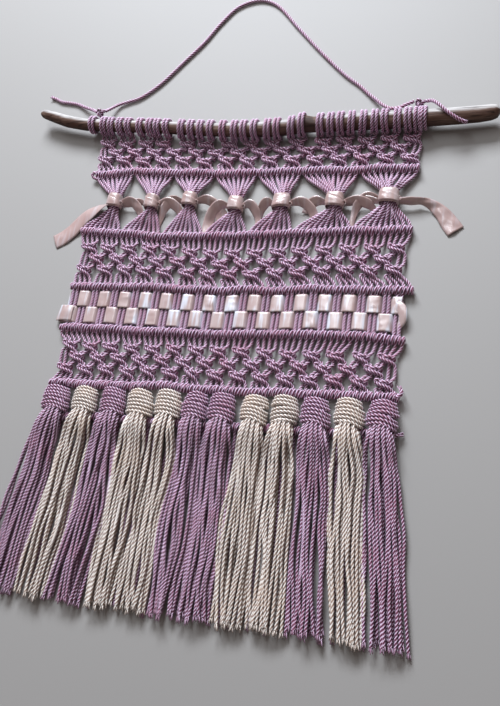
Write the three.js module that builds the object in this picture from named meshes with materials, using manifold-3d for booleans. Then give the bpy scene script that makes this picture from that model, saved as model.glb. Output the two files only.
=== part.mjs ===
// Macrame wall hanging on a driftwood rod, lying face up on a flat surface.
// Millimetres. +X runs to the right along the rod, +Y towards the hanging cord and +Z up.
// The origin is under the middle of the third bar, on the surface that the piece lies on.
//
// From the rod down: a band of alternating square knots, a bar, seven bundles tied with a
// ribbon, a bar, a second knotted band, a bar, warp cords with a ribbon woven through them
// in two rows, a bar, a third knotted band, a bar, twelve wrapped tassels and a last bar
// behind them that carries the back fringe.
import * as THREE from "three";
import { mergeVertices } from "three/addons/utils/BufferGeometryUtils.js";
import Module from "manifold-3d";

const wasm = await Module();
wasm.setup();

// ---- Driving dimensions ----
const CORD = 3.2; // thickness of every cotton cord
const GAP = 0.3; // clearance between neighbouring pieces
const SEAM = 0.6; // clearance of the straight ends of cords along a bar, which bends a little
const WRAP = 3; // thickness of a turn of cord pulled tight round the rod
const RIBBON = { thickness: 1.0, width: 14.4 };
const KNOT_COLUMNS = 15; // square knots side by side, four cords each
const WARP_PAIRS = 30;
// A bar is a carrier cord covered with half hitches; its ends taper a little.
const BAR = { width: 8.4, height: 8, taper: 4, endShare: 0.8 };
const NET = { low: 0.4, high: 5.2, halfWidth: 6, halfHeight: 4.2 };
const ROD_Z = 10.6; // height of the rod's axis
const FRINGE_END = -259;

// Round pieces are eight-sided. A corner lies further out than the flats by this factor.
const SIDES = 8;
const CORNER = 1 / Math.cos(Math.PI / SIDES);
const CORD_SIDES = 8;

// Centre of each bar at five places along it.
const STATIONS = [-150, -75, -4, 75, 150];
const BARS = {
  row_1: { left: -148, right: 149, y: [115.4, 115, 112.6, 113, 113.6] },
  row_2: { left: -150, right: 150, y: [56, 51, 51, 55, 57.5] },
  row_3: { left: -149, right: 153, y: [1, 2, 0, 3, 4.3] },
  row_4: { left: -152, right: 150, y: [-37.4, -37.5, -39, -35.2, -37.2] },
  row_5: { left: -149, right: 151, y: [-89.5, -87, -86.5, -85, -82.7] },
  row_6: { left: -146, right: 151, y: [-115.9, -115.9, -115.5, -113.5, -112.5] },
};

// The driftwood rod, from its thin bent end to its thick round one.
const ROD = [
  { x: -217, y: 179, rise: 1.2, radius: 1.8 },
  { x: -213, y: 178.8, rise: 1, radius: 3.7 },
  { x: -204, y: 176, rise: 0.6, radius: 4.8 },
  { x: -188, y: 170, rise: 0.2, radius: 5.6 },
  { x: -166, y: 165.2, rise: 0, radius: 5.4 },
  { x: -131, y: 162, rise: 0, radius: 5.4 },
  { x: -90, y: 159, rise: 0, radius: 5.5 },
  { x: -48, y: 154.8, rise: 0, radius: 5.9 },
  { x: -10, y: 152, rise: 0, radius: 6.5 },
  { x: 20, y: 152.3, rise: 0, radius: 6.7 },
  { x: 38, y: 153.6, rise: 0, radius: 6.8 },
  { x: 47, y: 156, rise: 0.3, radius: 7.6 },
  { x: 56, y: 155, rise: 0, radius: 6.7 },
  { x: 79, y: 155.7, rise: 0, radius: 7.1 },
  { x: 113, y: 156.2, rise: 0, radius: 7.2 },
  { x: 154, y: 157.2, rise: 0, radius: 7.2 },
  { x: 180, y: 158, rise: 0, radius: 7 },
  { x: 194, y: 158.8, rise: 0, radius: 6.8 },
  { x: 203, y: 159.8, rise: 0, radius: 6.3 },
  { x: 207.5, y: 160.4, rise: 0, radius: 4.4 },
  { x: 210, y: 160.7, rise: 0, radius: 1.8 },
];
const ROD_SIDES = 10;

// Knotted bands: the columns' first and last x, and each line of knots at left, middle, right.
const BANDS = {
  band_a: {
    first: -142.5,
    last: 140,
    above: null,
    below: "row_1",
    lines: [
      [146, 141, 141.5],
      [137.2, 132.4, 132.8],
      [128.6, 123.6, 123.4],
    ],
  },
  band_b: {
    first: -138,
    last: 136,
    above: "row_2",
    below: "row_3",
    lines: [
      [39.5, 33.5, 40],
      [28.5, 23.5, 30.5],
      [17.8, 14, 21],
    ],
  },
  band_c: {
    first: -135.5,
    last: 136.5,
    above: "row_4",
    below: "row_5",
    lines: [
      [-54.8, -54, -53.5],
      [-64.8, -64.3, -63],
      [-74.8, -74.4, -73],
    ],
  },
};
const BAND_SPREAD = 8.3; // half width of a knot's four cords where they meet a bar
const BAND_FOOT = 7.4;

// The pairs of lark's heads that carry band_a, one ring of cord for each column.
const RING_SHIFT = [-1, 0, 1, -1.5, 0, 1, 0, 1, -1, 1, 0, -1, 1.5, -2, -3.5];
const RING_WIDTH = [15, 14, 13, 14, 14, 13, 14, 15, 14, 14, 13, 14, 14, 13, 13];

// Seven bundles of cords, each drawn in to a neck by the ribbon.
const BUNDLES = [
  { neck: -121.5, top: [-146, -107], foot: [-146, -107] },
  { neck: -84.5, top: [-105, -67], foot: [-105.5, -66.5] },
  { neck: -48, top: [-65.5, -28], foot: [-65, -27] },
  { neck: -4.5, top: [-26, 14], foot: [-25, 12.5] },
  { neck: 36, top: [16, 55], foot: [14.5, 54.5] },
  { neck: 82, top: [57, 102.5], foot: [56.5, 103.5] },
  { neck: 126, top: [104.5, 146], foot: [105.5, 146] },
];
const NECK = { top: 91, foot: 76, half: 4, low: 2.6, high: 10.4 };
const FAN_FINGERS = 4;
const FAN = { low: 2.2, high: 5.8, fingerShare: 0.8, parting: 0.3 };
const COLLAR = { half: 7, chamfer: 2.6, top: 12.2 };

// Free ends of the tying ribbon, as the edges of the strip from the outer bundles outwards.
const LEFT_TAIL = [
  [-124.5, 83],
  [-143, 79],
  [-155, 71.5],
  [-166, 62],
  [-177, 54],
  [-176, 37.5],
  [-165, 43],
  [-157, 52],
  [-150, 64],
  [-124.5, 76],
].map(([x, y]) => ({ x, y }));
const RIGHT_TAIL = [
  [129, 87],
  [146, 86.5],
  [157, 83],
  [167, 78],
  [177.5, 70],
  [187, 61],
  [178, 49],
  [166, 66],
  [155, 77],
  [129, 80],
].map(([x, y]) => ({ x, y }));

// Tassels from left to right: head centre and half width, spread of the fringe end, colour.
const TASSELS = [
  { x: -135, half: 12.4, foot: [-172, -138.3], colour: "mauve" },
  { x: -108, half: 11.8, foot: [-137.7, -108.5], colour: "cream" },
  { x: -82, half: 11.4, foot: [-107.9, -76.6], colour: "mauve" },
  { x: -58, half: 11.6, foot: [-76, -50.2], colour: "cream" },
  { x: -33.5, half: 11.6, foot: [-49.6, -23.6], colour: "cream" },
  { x: -10.5, half: 10.8, foot: [-23, -0.3], colour: "mauve" },
  { x: 12.5, half: 11.3, foot: [0.3, 26.1], colour: "mauve" },
  { x: 39, half: 11.6, foot: [26.7, 54], colour: "cream" },
  { x: 63, half: 11.4, foot: [54.6, 83], colour: "cream" },
  { x: 87.5, half: 11.8, foot: [83.6, 112], colour: "mauve" },
  { x: 112.5, half: 11.8, foot: [112.6, 140.2], colour: "cream" },
  { x: 137.5, half: 12, foot: [140.8, 168], colour: "mauve" },
];
const HEAD_TOP = 14.6;
// A head's width and height along it, as shares of its full ones.
const HEAD_SHAPE = [
  { at: 0, half: 0.84, high: 0.86 },
  { at: 0.22, half: 0.95, high: 1 },
  { at: 0.72, half: 1, high: 1 },
  { at: 1, half: 0.93, high: 0.9 },
];
const BACK_TOP = 3;
const CLEAR_OF_BAR = BAR.height + GAP;
const CLEAR_OF_BACK = BACK_TOP + GAP;
// A skirt's sections at distances below its start; spread is how far it has opened to its foot.
const SKIRT_SECTIONS = [
  { drop: 0, half: 8.2, spread: 0, low: CLEAR_OF_BAR, high: 13.4 },
  { drop: 11, half: 9.6, spread: 0.05, low: CLEAR_OF_BAR, high: 14 },
  { drop: 22, half: 10.6, spread: 0.14, low: CLEAR_OF_BACK, high: 11.6 },
  { drop: 48, half: 11.2, spread: 0.34, low: CLEAR_OF_BACK, high: 9 },
];
const SKIRT = { fingers: 5, slit: 1.2, rootHigh: 9, tipHigh: 6.6, ragged: 0.9 };
const BACK = {
  fingers: 20,
  slit: 1.8,
  ragged: 1.1,
  short: 5, // how far its ends stop before the tassels'
  parting: 12, // distance from the bar to the first slit's top
  head: { left: -145, right: 150 },
  foot: { left: -166, right: 163 },
};

// A swag's edges where it leaves a neck, at its shoulder and along its bottom; the shares are of
// the distance between two necks.
const SWAG = [
  { up: 87, down: 79 },
  { share: 0.14, up: 84.5, down: 73 },
  { share: 0.1, up: 72.5, down: 62.5 },
];

// Routes of the hanging cord and its two free ends, as centre lines.
const HANGER_LOOP = [
  [-149.5, 180.4, 9.4],
  [-147.4, 185.2, 5.8],
  [-144.4, 189.2, 3.8],
  [-140.6, 192.4, 2.5],
  [-132, 195.4, 1.9],
  [-121, 199, 1.7],
  [-103, 213, 1.7],
  [-82, 238, 1.7],
  [-65, 259, 1.7],
  [-51, 281, 1.7],
  [-36, 298, 1.7],
  [-16, 303.5, 1.7],
  [1, 297, 1.7],
  [27, 267, 1.7],
  [50, 240, 1.7],
  [76, 212, 1.7],
  [91, 199, 1.7],
  [100.6, 188.9, 2.2],
  [107, 182.5, 3.6],
  [113.4, 175.5, 5.5],
  [120.5, 170.4, 7.5],
  [128.6, 170.2, 8.5],
  [134, 172.6, 9],
  [140.3, 174.6, 9.8],
];
const LEFT_END = [
  [-158.5, 179.8, 9.3],
  [-166, 185, 6],
  [-177, 190.6, 3.3],
  [-187, 195.6, 1.9],
  [-196.4, 197.8, 1.7],
  [-206, 199.8, 1.7],
  [-212, 203, 1.7],
  [-217, 205, 1.7],
];
const RIGHT_END = [
  [150.7, 173.3, 11.2],
  [155, 171.2, 14.6],
  [159, 167, 17.8],
  [163.5, 161.8, 19.7],
  [167.7, 157.1, 20],
  [173.5, 152.7, 19],
  [178.6, 150, 17],
  [182.2, 149.3, 15],
];
const HANGER_KNOTS = {
  hanger_knot_left: { x: -154.2, y: 178.4, z: 10.2, half: [4.4, 4, 4] },
  hanger_knot_right: { x: 145.6, y: 172.3, z: 9.8, half: [4.8, 4.1, 4.1] },
};
const HANGER_WRAPS = {
  hanger_wrap_left: { x: -158, width: 7 },
  hanger_wrap_right: { x: 148, width: 6.6 },
};

const FINISH = {
  mauve: new THREE.MeshStandardMaterial({ color: 0xa5769a, roughness: 0.85, metalness: 0 }),
  cream: new THREE.MeshStandardMaterial({ color: 0xd9ccb8, roughness: 0.85, metalness: 0 }),
  ribbon: new THREE.MeshStandardMaterial({ color: 0xe2c6bb, roughness: 0.35, metalness: 0 }),
  wood: new THREE.MeshStandardMaterial({ color: 0x8a705c, roughness: 0.8, metalness: 0 }),
};

// ---- Small helpers ----
const mix = (a, b, t) => a + (b - a) * t;

/** Value at x on a line through (xs, values). */
function along(xs, values, x) {
  let i = 0;
  while (i < xs.length - 2 && x > xs[i + 1]) i += 1;
  return mix(values[i], values[i + 1], (x - xs[i]) / (xs[i + 1] - xs[i]));
}

const barY = (name, x) => along(STATIONS, BARS[name].y, x);
const barTop = (name, x) => barY(name, x) + BAR.width / 2;
const barFoot = (name, x) => barY(name, x) - BAR.width / 2;
const rodAt = (x, key) => along(ROD.map((s) => s.x), ROD.map((s) => s[key]), x);

/** An indexed geometry from corner points and triangles. */
function solidFrom(points, triangles) {
  const geometry = new THREE.BufferGeometry();
  geometry.setAttribute("position", new THREE.Float32BufferAttribute(points.flat(), 3));
  geometry.setIndex(triangles.flat());
  return geometry;
}

/** Triangles between two rings of corners that start at the given places in a point list. */
function ringSides(start, next, count) {
  return Array.from({ length: count }, (_, k) => {
    const beside = (k + 1) % count;
    return [
      [start + k, start + beside, next + beside],
      [start + k, next + beside, next + k],
    ];
  }).flat();
}

/** A solid over rings of equal length along X or against Y, closed by a flat cap at each end. */
function loft(rings) {
  const count = rings[0].length;
  const last = (rings.length - 1) * count;
  const triangles = rings.slice(1).flatMap((_, r) => ringSides(r * count, (r + 1) * count, count));
  for (let k = 1; k < count - 1; k += 1) {
    triangles.push([0, k + 1, k], [last, last + k, last + k + 1]);
  }
  return solidFrom(rings.flat(), triangles);
}

/** A pipe from its outer and its inner rings, both in order along X. */
function pipe(outer, inner) {
  const rings = [...outer, ...inner.toReversed()];
  const count = rings[0].length;
  const triangles = rings.flatMap((_, r) => {
    return ringSides(r * count, ((r + 1) % rings.length) * count, count);
  });
  return solidFrom(rings.flat(), triangles);
}

/** Ring of a bar or rod across X, with a flat facet underneath. */
function ringAcrossX(x, y, z, halfWidth, halfHeight, sides) {
  return Array.from({ length: sides }, (_, k) => {
    const angle = ((k + 0.5) / sides) * 2 * Math.PI - Math.PI / 2;
    return [x, y + halfWidth * Math.cos(angle), z + halfHeight * Math.sin(angle)];
  });
}

/** A plate of cloth from polygons with shared corners, each corner with a low and a high z. */
function plate(polygons) {
  const index = new Map();
  const corners = [];
  const find = (p) => {
    const key = `${p.x.toFixed(3)} ${p.y.toFixed(3)}`;
    if (!index.has(key)) {
      index.set(key, corners.length);
      corners.push(p);
    }
    return index.get(key);
  };
  const tops = [];
  for (const polygon of polygons) {
    const flat = polygon.map((p) => new THREE.Vector2(p.x, p.y));
    const ids = polygon.map(find);
    for (const [a, b, c] of THREE.ShapeUtils.triangulateShape(flat, [])) {
      const turn = new THREE.Vector2().subVectors(flat[b], flat[a]);
      const next = new THREE.Vector2().subVectors(flat[c], flat[a]);
      const left = turn.cross(next) > 0;
      tops.push(left ? [ids[a], ids[b], ids[c]] : [ids[a], ids[c], ids[b]]);
    }
  }
  const edges = new Set(tops.flatMap(([a, b, c]) => [`${a},${b}`, `${b},${c}`, `${c},${a}`]));
  const count = corners.length;
  const triangles = [];
  for (const [a, b, c] of tops) triangles.push([a, b, c], [a + count, c + count, b + count]);
  for (const edge of edges) {
    const [a, b] = edge.split(",").map(Number);
    if (!edges.has(`${b},${a}`)) triangles.push([a, a + count, b + count], [a, b + count, b]);
  }
  const points = [
    ...corners.map((p) => [p.x, p.y, p.high]),
    ...corners.map((p) => [p.x, p.y, p.low]),
  ];
  return solidFrom(points, triangles);
}

/** Joins overlapping solids into one. */
function join(geometries) {
  let whole = null;
  for (const source of geometries) {
    const bare = source.clone();
    bare.deleteAttribute("normal");
    bare.deleteAttribute("uv");
    const merged = mergeVertices(bare, 1e-4);
    const solid = new wasm.Manifold(
      new wasm.Mesh({
        numProp: 3,
        vertProperties: new Float32Array(merged.attributes.position.array),
        triVerts: new Uint32Array(merged.index.array),
      }),
    );
    whole = whole ? whole.add(solid) : solid;
  }
  const mesh = whole.getMesh();
  const geometry = new THREE.BufferGeometry();
  geometry.setAttribute("position", new THREE.Float32BufferAttribute(mesh.vertProperties, 3));
  geometry.setIndex(Array.from(mesh.triVerts));
  return geometry;
}

/** A round cord along a centre line, with a step about every spacing. */
function cordAlong(route, spacing) {
  const curve = new THREE.CatmullRomCurve3(route.map((p) => new THREE.Vector3(...p)));
  const corners = Array.from({ length: CORD_SIDES }, (_, k) => {
    const angle = (k / CORD_SIDES) * 2 * Math.PI;
    return new THREE.Vector2(Math.cos(angle), Math.sin(angle)).multiplyScalar(CORD / 2);
  });
  return new THREE.ExtrudeGeometry(new THREE.Shape(corners), {
    steps: Math.round(curve.getLength() / spacing),
    extrudePath: curve,
    bevelEnabled: false,
  });
}

/** A band of cord wound round the rod, clear of it by the gap. */
function ringOnRod(x, width) {
  const [west, east] = [x - width / 2, x + width / 2];
  const bends = ROD.map((s) => s.x).filter((s) => s > west && s < east);
  const skin = (clear) => {
    return [west, ...bends, east].map((s) => {
      const radius = (rodAt(s, "radius") + clear) * CORNER;
      return ringAcrossX(s, rodAt(s, "y"), ROD_Z + rodAt(s, "rise"), radius, radius, SIDES);
    });
  };
  return pipe(skin(GAP + WRAP), skin(GAP));
}

// ---- The pieces ----
function rodGeometry() {
  return loft(
    ROD.map((s) => ringAcrossX(s.x, s.y, ROD_Z + s.rise, s.radius, s.radius, ROD_SIDES)),
  );
}

function barGeometry(name) {
  const { left, right } = BARS[name];
  const stops = [left, left + BAR.taper, ...STATIONS.slice(1, -1), right - BAR.taper, right];
  return loft(
    stops.map((x) => {
      const full = x === left || x === right ? BAR.endShare : 1;
      const half = (BAR.height / 2) * full;
      const width = (BAR.width / 2) * full * CORNER;
      return ringAcrossX(x, barY(name, x), half, width, half * CORNER, SIDES);
    }),
  );
}

const lineY = (band, line, x) => along([band.first, 0, band.last], band.lines[line], x);

/** A net of square knots: diamonds joined by the cord pairs that run between them. */
function netPolygons(band) {
  const pitch = (band.last - band.first) / (KNOT_COLUMNS - 1);
  const thin = { low: NET.low, high: NET.high };
  const knotAt = (line, column) => {
    const x = band.first + pitch * (column + (line === 1 ? 0.5 : 0));
    const y = lineY(band, line, x);
    return {
      x,
      right: { x: x + NET.halfWidth, y, ...thin },
      top: { x, y: y + NET.halfHeight, ...thin },
      left: { x: x - NET.halfWidth, y, ...thin },
      foot: { x, y: y - NET.halfHeight, ...thin },
    };
  };
  const polygons = [];
  const lines = [0, 1, 2].map((line) =>
    Array.from({ length: KNOT_COLUMNS - (line === 1 ? 1 : 0) }, (_, c) => knotAt(line, c)),
  );
  for (const knot of lines.flat()) {
    polygons.push([knot.right, knot.top, knot.left, knot.foot]);
  }
  lines[1].forEach((knot, c) => {
    const [upLeft, upRight] = [lines[0][c], lines[0][c + 1]];
    const [downLeft, downRight] = [lines[2][c], lines[2][c + 1]];
    polygons.push([knot.top, upLeft.right, upLeft.foot, knot.left]);
    polygons.push([knot.right, upRight.foot, upRight.left, knot.top]);
    polygons.push([knot.left, downLeft.top, downLeft.right, knot.foot]);
    polygons.push([knot.foot, downRight.left, downRight.top, knot.right]);
  });
  // The edge cords run free past the half-pitch line of knots.
  for (const [column, side] of [[0, "left"], [KNOT_COLUMNS - 1, "right"]]) {
    const [upper, lower] = [lines[0][column], lines[2][column]];
    polygons.push([upper[side], upper.foot, lower.top, lower[side]]);
  }
  return { lines, polygons, thin };
}

/** The four cords of each knot from its lower side down to the bar beneath. */
function netFeet(band, lines, thin) {
  return lines[2].map((knot) => {
    const y = (x) => barTop(band.below, x) + SEAM;
    const [west, east] = [knot.x - BAND_FOOT, knot.x + BAND_FOOT];
    return [
      knot.left,
      { x: west, y: y(west), ...thin },
      { x: east, y: y(east), ...thin },
      knot.right,
      knot.foot,
    ];
  });
}

/** The four cords of each knot from the bar above down to its upper side. */
function netTops(band, lines, thin) {
  return lines[0].map((knot) => {
    const y = (x) => barFoot(band.above, x) - SEAM;
    const [west, east] = [knot.x - BAND_SPREAD, knot.x + BAND_SPREAD];
    return [
      knot.left,
      knot.top,
      knot.right,
      { x: east, y: y(east), ...thin },
      { x: west, y: y(west), ...thin },
    ];
  });
}

/** Lark's heads: the net's first line hangs from rings of cord round the rod. */
function ringsAndHangers(lines, thin) {
  const rings = [];
  const hangers = [];
  lines[0].forEach((knot, column) => {
    const x = knot.x + RING_SHIFT[column];
    const width = RING_WIDTH[column];
    rings.push(ringOnRod(x, width));
    const meet = rodAt(x, "y") - rodAt(x, "radius") + 0.6;
    const half = width / 2 - 1;
    hangers.push([
      knot.left,
      knot.top,
      knot.right,
      { x: x + half, y: meet, ...thin },
      { x: x - half, y: meet, ...thin },
    ]);
  });
  return { rings, hangers };
}

function bandGeometry(name) {
  const band = BANDS[name];
  const { lines, polygons, thin } = netPolygons(band);
  const feet = netFeet(band, lines, thin);
  if (band.above) return plate([...polygons, ...feet, ...netTops(band, lines, thin)]);
  const { rings, hangers } = ringsAndHangers(lines, thin);
  return join([plate([...polygons, ...feet, ...hangers]), ...rings]);
}

/** One fan of a bundle: four fingers of cords that part as they leave the neck. */
function fanPolygon(neckX, neckY, ends, barEdge) {
  const step = (ends[1] - ends[0]) / FAN_FINGERS;
  const tip = (x) => ({ x, y: barEdge(x), low: FAN.low, high: FAN.high });
  const outline = [];
  for (let k = 0; k < FAN_FINGERS; k += 1) {
    const west = ends[0] + step * (k + (1 - FAN.fingerShare) / 2);
    const east = west + step * FAN.fingerShare;
    if (k > 0) {
      const parting = ends[0] + step * k;
      const rootX = mix(neckX + (k - FAN_FINGERS / 2) * 2, parting, FAN.parting);
      const y = mix(neckY, barEdge(parting), FAN.parting);
      outline.push({ x: rootX, y, low: FAN.low + 0.2, high: FAN.high + 2.4 });
    }
    outline.push(tip(west), tip(east));
  }
  const corner = (x) => ({ x, y: neckY, low: NECK.low, high: NECK.high });
  outline.push(corner(neckX + NECK.half), corner(neckX - NECK.half));
  return outline;
}

function bundleGeometry(bundle) {
  const [west, east] = [bundle.neck - NECK.half, bundle.neck + NECK.half];
  const corner = (x, y) => ({ x, y, low: NECK.low, high: NECK.high });
  return plate([
    fanPolygon(bundle.neck, NECK.top, bundle.top, (x) => barFoot("row_1", x) - SEAM),
    [
      corner(west, NECK.foot),
      corner(east, NECK.foot),
      corner(east, NECK.top),
      corner(west, NECK.top),
    ],
    fanPolygon(bundle.neck, NECK.foot, bundle.foot, (x) => barTop("row_2", x) + SEAM),
  ]);
}

/** The ribbon's turn round a neck: a chamfered sleeve along Y. */
function collarGeometry(neckX) {
  const { half, chamfer, top } = COLLAR;
  const low = GAP;
  const outer = new THREE.Shape();
  outer.moveTo(-half + chamfer, low);
  outer.lineTo(half - chamfer, low);
  outer.lineTo(half, low + chamfer);
  outer.lineTo(half, top - chamfer);
  outer.lineTo(half - chamfer, top);
  outer.lineTo(-half + chamfer, top);
  outer.lineTo(-half, top - chamfer);
  outer.lineTo(-half, low + chamfer);
  const [inner, floor, roof] = [NECK.half + GAP, NECK.low - GAP, NECK.high + GAP];
  const hole = new THREE.Path();
  hole.moveTo(-inner, floor);
  hole.lineTo(-inner, roof);
  hole.lineTo(inner, roof);
  hole.lineTo(inner, floor);
  outer.holes.push(hole);
  const length = NECK.top - NECK.foot - 1;
  const collar = new THREE.ExtrudeGeometry(outer, { depth: length, bevelEnabled: false });
  collar.rotateX(Math.PI / 2);
  collar.translate(neckX, NECK.top - 0.5, 0);
  return collar;
}

/** The ribbon between two necks: it droops towards the second bar and rises again. */
function swagPolygons(from, to) {
  const reach = COLLAR.half - COLLAR.chamfer - 0.2;
  const [high, shoulder, bottom] = SWAG;
  const span = to - from;
  const middle = (from + to) / 2;
  const stops = [
    { x: from + reach, ...high },
    { x: from + reach + span * shoulder.share, ...shoulder },
    { x: middle - span * bottom.share, ...bottom },
    { x: middle + span * bottom.share, ...bottom },
    { x: to - reach - span * shoulder.share, ...shoulder },
    { x: to - reach, ...high },
  ].map((s) => ({
    up: { x: s.x, y: s.up, low: GAP, high: GAP + RIBBON.thickness },
    down: { x: s.x, y: s.down, low: GAP, high: GAP + RIBBON.thickness },
  }));
  return stops.slice(1).map((s, k) => [stops[k].down, s.down, s.up, stops[k].up]);
}

function tieRibbonGeometry() {
  const flat = (p) => ({ ...p, low: GAP, high: GAP + RIBBON.thickness });
  const swags = BUNDLES.slice(1).map((b, k) => plate(swagPolygons(BUNDLES[k].neck, b.neck)));
  return join([
    ...BUNDLES.map((b) => collarGeometry(b.neck)),
    ...swags,
    plate([LEFT_TAIL.map(flat)]),
    plate([RIGHT_TAIL.map(flat)]),
  ]);
}

const WARP = { first: -142, pitch: 9.8, half: 2.8, low: 1.6, high: 4.6 };
const warpX = (pair) => WARP.first + WARP.pitch * pair;

/** The fourth bar with the thirty pairs of warp cords that stand up from it. */
function barWithWarps() {
  const teeth = Array.from({ length: WARP_PAIRS }, (_, pair) => {
    const [west, east] = [warpX(pair) - WARP.half, warpX(pair) + WARP.half];
    const z = { low: WARP.low, high: WARP.high };
    return plate([
      [
        { x: west, y: barTop("row_4", west) - 1, ...z },
        { x: east, y: barTop("row_4", east) - 1, ...z },
        { x: east, y: barFoot("row_3", east) - SEAM, ...z },
        { x: west, y: barFoot("row_3", west) - SEAM, ...z },
      ],
    ]);
  });
  return join([barGeometry("row_4"), ...teeth]);
}

/** Height of the woven ribbon's underside beside a pair that it passes over or under. */
const weaveLow = (over) => (over ? WARP.high + 0.4 : 0.2);

/** The ribbon woven through the warps: out along the upper row and back along the lower. */
function wovenRibbonGeometry() {
  const middle = (x) => (barFoot("row_3", x) + barTop("row_4", x)) / 2;
  const edge = WARP.half + GAP;
  const row = (side, overParity) => {
    const stops = [];
    for (let pair = 0; pair < WARP_PAIRS; pair += 1) {
      const low = weaveLow(pair % 2 === overParity);
      for (const x of [warpX(pair) - edge, warpX(pair) + edge]) {
        const inner = middle(x) + side * 0.2;
        const outer = middle(x) + side * RIBBON.width;
        const z = { low, high: low + RIBBON.thickness };
        stops.push([
          { x, y: Math.min(inner, outer), ...z },
          { x, y: Math.max(inner, outer), ...z },
        ]);
      }
    }
    return stops.slice(1).map((s, k) => [stops[k][0], s[0], s[1], stops[k][1]]);
  };
  const end = warpX(WARP_PAIRS - 1) + edge;
  const z = { low: weaveLow(true), high: weaveLow(true) + RIBBON.thickness };
  const turn = [
    { x: end, y: middle(end) + 0.2, ...z },
    { x: end + 2.6, y: middle(end) - 4, ...z },
    { x: end + 4.4, y: middle(end) + 6, ...z },
    { x: end + 2.4, y: middle(end) + RIBBON.width - 2, ...z },
    { x: end, y: middle(end) + RIBBON.width, ...z },
  ];
  const low = { low: weaveLow(false), high: weaveLow(false) + RIBBON.thickness };
  const back = [
    { x: end, y: middle(end) - RIBBON.width + 1, ...low },
    { x: end + 2.2, y: middle(end) - 8, ...low },
    { x: end + 4.2, y: middle(end) - 0.6, ...low },
    { x: end, y: middle(end) - 0.2, ...low },
  ];
  const riser = { low: weaveLow(false), high: weaveLow(true) + RIBBON.thickness };
  const side = [
    { x: end + 0.6, y: middle(end) - 4, ...riser },
    { x: end + 1.8, y: middle(end) - 4, ...riser },
    { x: end + 1.8, y: middle(end) - 0.9, ...riser },
    { x: end + 0.6, y: middle(end) - 0.9, ...riser },
  ];
  const start = warpX(0) - edge;
  const leftWrap = [
    { x: start, y: middle(start) - RIBBON.width, ...z },
    { x: start, y: middle(start) - 0.2, ...z },
    { x: start - 3.5, y: middle(start) - 1, ...z },
    { x: start - 6.5, y: middle(start) - 4, ...z },
    { x: start - 7.5, y: middle(start) - RIBBON.width + 0.5, ...z },
  ];
  return join([
    plate(row(1, 1)),
    plate(row(-1, 0)),
    plate([turn]),
    plate([back]),
    plate([side]),
    plate([leftWrap]),
  ]);
}

/** Ring of a tassel head across Y, with a flat facet underneath. */
function ringAcrossY(x, y, halfWidth, top) {
  return Array.from({ length: SIDES }, (_, k) => {
    const angle = ((k + 0.5) / SIDES) * 2 * Math.PI - Math.PI / 2;
    const across = halfWidth * CORNER * Math.cos(angle);
    return [x + across, y, (top / 2) * (1 + CORNER * Math.sin(angle))];
  });
}

function headGeometry(tassel) {
  const clear = (name, edge) => {
    const ends = [tassel.x - tassel.half, tassel.x, tassel.x + tassel.half];
    return ends.map((x) => edge(name, x));
  };
  const top = Math.min(...clear("row_5", barFoot)) - GAP;
  const foot = Math.max(...clear("row_6", barTop)) + GAP;
  return loft(
    HEAD_SHAPE.map((s) =>
      ringAcrossY(tassel.x, mix(top, foot, s.at), tassel.half * s.half, HEAD_TOP * s.high),
    ),
  );
}

/** A tassel's skirt: it leaves the head, drops over the last bar and parts into fingers. */
function skirtGeometry(tassel, number) {
  const start = Math.max(
    barTop("row_6", tassel.x - tassel.half),
    barTop("row_6", tassel.x + tassel.half),
  );
  const [footWest, footEast] = tassel.foot;
  const stations = SKIRT_SECTIONS.map(({ drop, half, spread, low, high }) => {
    const west = mix(tassel.x - half, footWest, spread);
    const east = mix(tassel.x + half, footEast, spread);
    return [
      { x: west, y: start - drop, low, high },
      { x: east, y: start - drop, low, high },
    ];
  });
  const polygons = stations
    .slice(1)
    .map((s, k) => [s[0], s[1], stations[k][1], stations[k][0]]);
  const root = stations.at(-1);
  const { fingers, slit, rootHigh, tipHigh } = SKIRT;
  const step = (footEast - footWest) / fingers;
  const tip = (x, k) => {
    const ragged = ((number * 5 + k * 7) % 6) * SKIRT.ragged;
    return { x, y: FRINGE_END + ragged, low: CLEAR_OF_BACK, high: tipHigh };
  };
  const outline = [root[0]];
  for (let k = 0; k < fingers; k += 1) {
    const west = footWest + step * k + (k > 0 ? slit / 2 : 0);
    const east = footWest + step * (k + 1) - (k < fingers - 1 ? slit / 2 : 0);
    if (k > 0) {
      const share = 0.2 + ((number + k * 2) % 4) * 0.1;
      const x = mix(mix(root[0].x, root[1].x, k / fingers), footWest + step * k, share);
      const y = mix(root[0].y, FRINGE_END, share);
      outline.push({ x, y, low: CLEAR_OF_BACK, high: mix(rootHigh, tipHigh, share) });
    }
    outline.push(tip(west, k), tip(east, k));
  }
  outline.push(root[1]);
  return plate([...polygons, outline]);
}

/** The back fringe: one comb that hangs from the last bar under the tassels. */
function backFringeGeometry() {
  const { fingers, head, foot, slit, parting } = BACK;
  const headY = (x) => barFoot("row_6", x) - SEAM;
  const z = { low: 0, high: BACK_TOP };
  const outline = [];
  for (let k = 0; k < fingers; k += 1) {
    const west = mix(foot.left, foot.right, k / fingers) + slit / 2;
    const east = mix(foot.left, foot.right, (k + 1) / fingers) - slit / 2;
    const y = FRINGE_END + BACK.short + ((k * 7) % 5) * BACK.ragged;
    if (k > 0) {
      const x = mix(head.left, head.right, k / fingers);
      outline.push({ x, y: headY(x) - parting * (1 + ((k * 3) % 4) / 2), ...z });
    }
    outline.push({ x: west, y, ...z }, { x: east, y, ...z });
  }
  const bends = [head.right, 75, 0, -75, head.left];
  for (const x of bends) outline.push({ x, y: headY(x), ...z });
  return plate([outline]);
}

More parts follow.
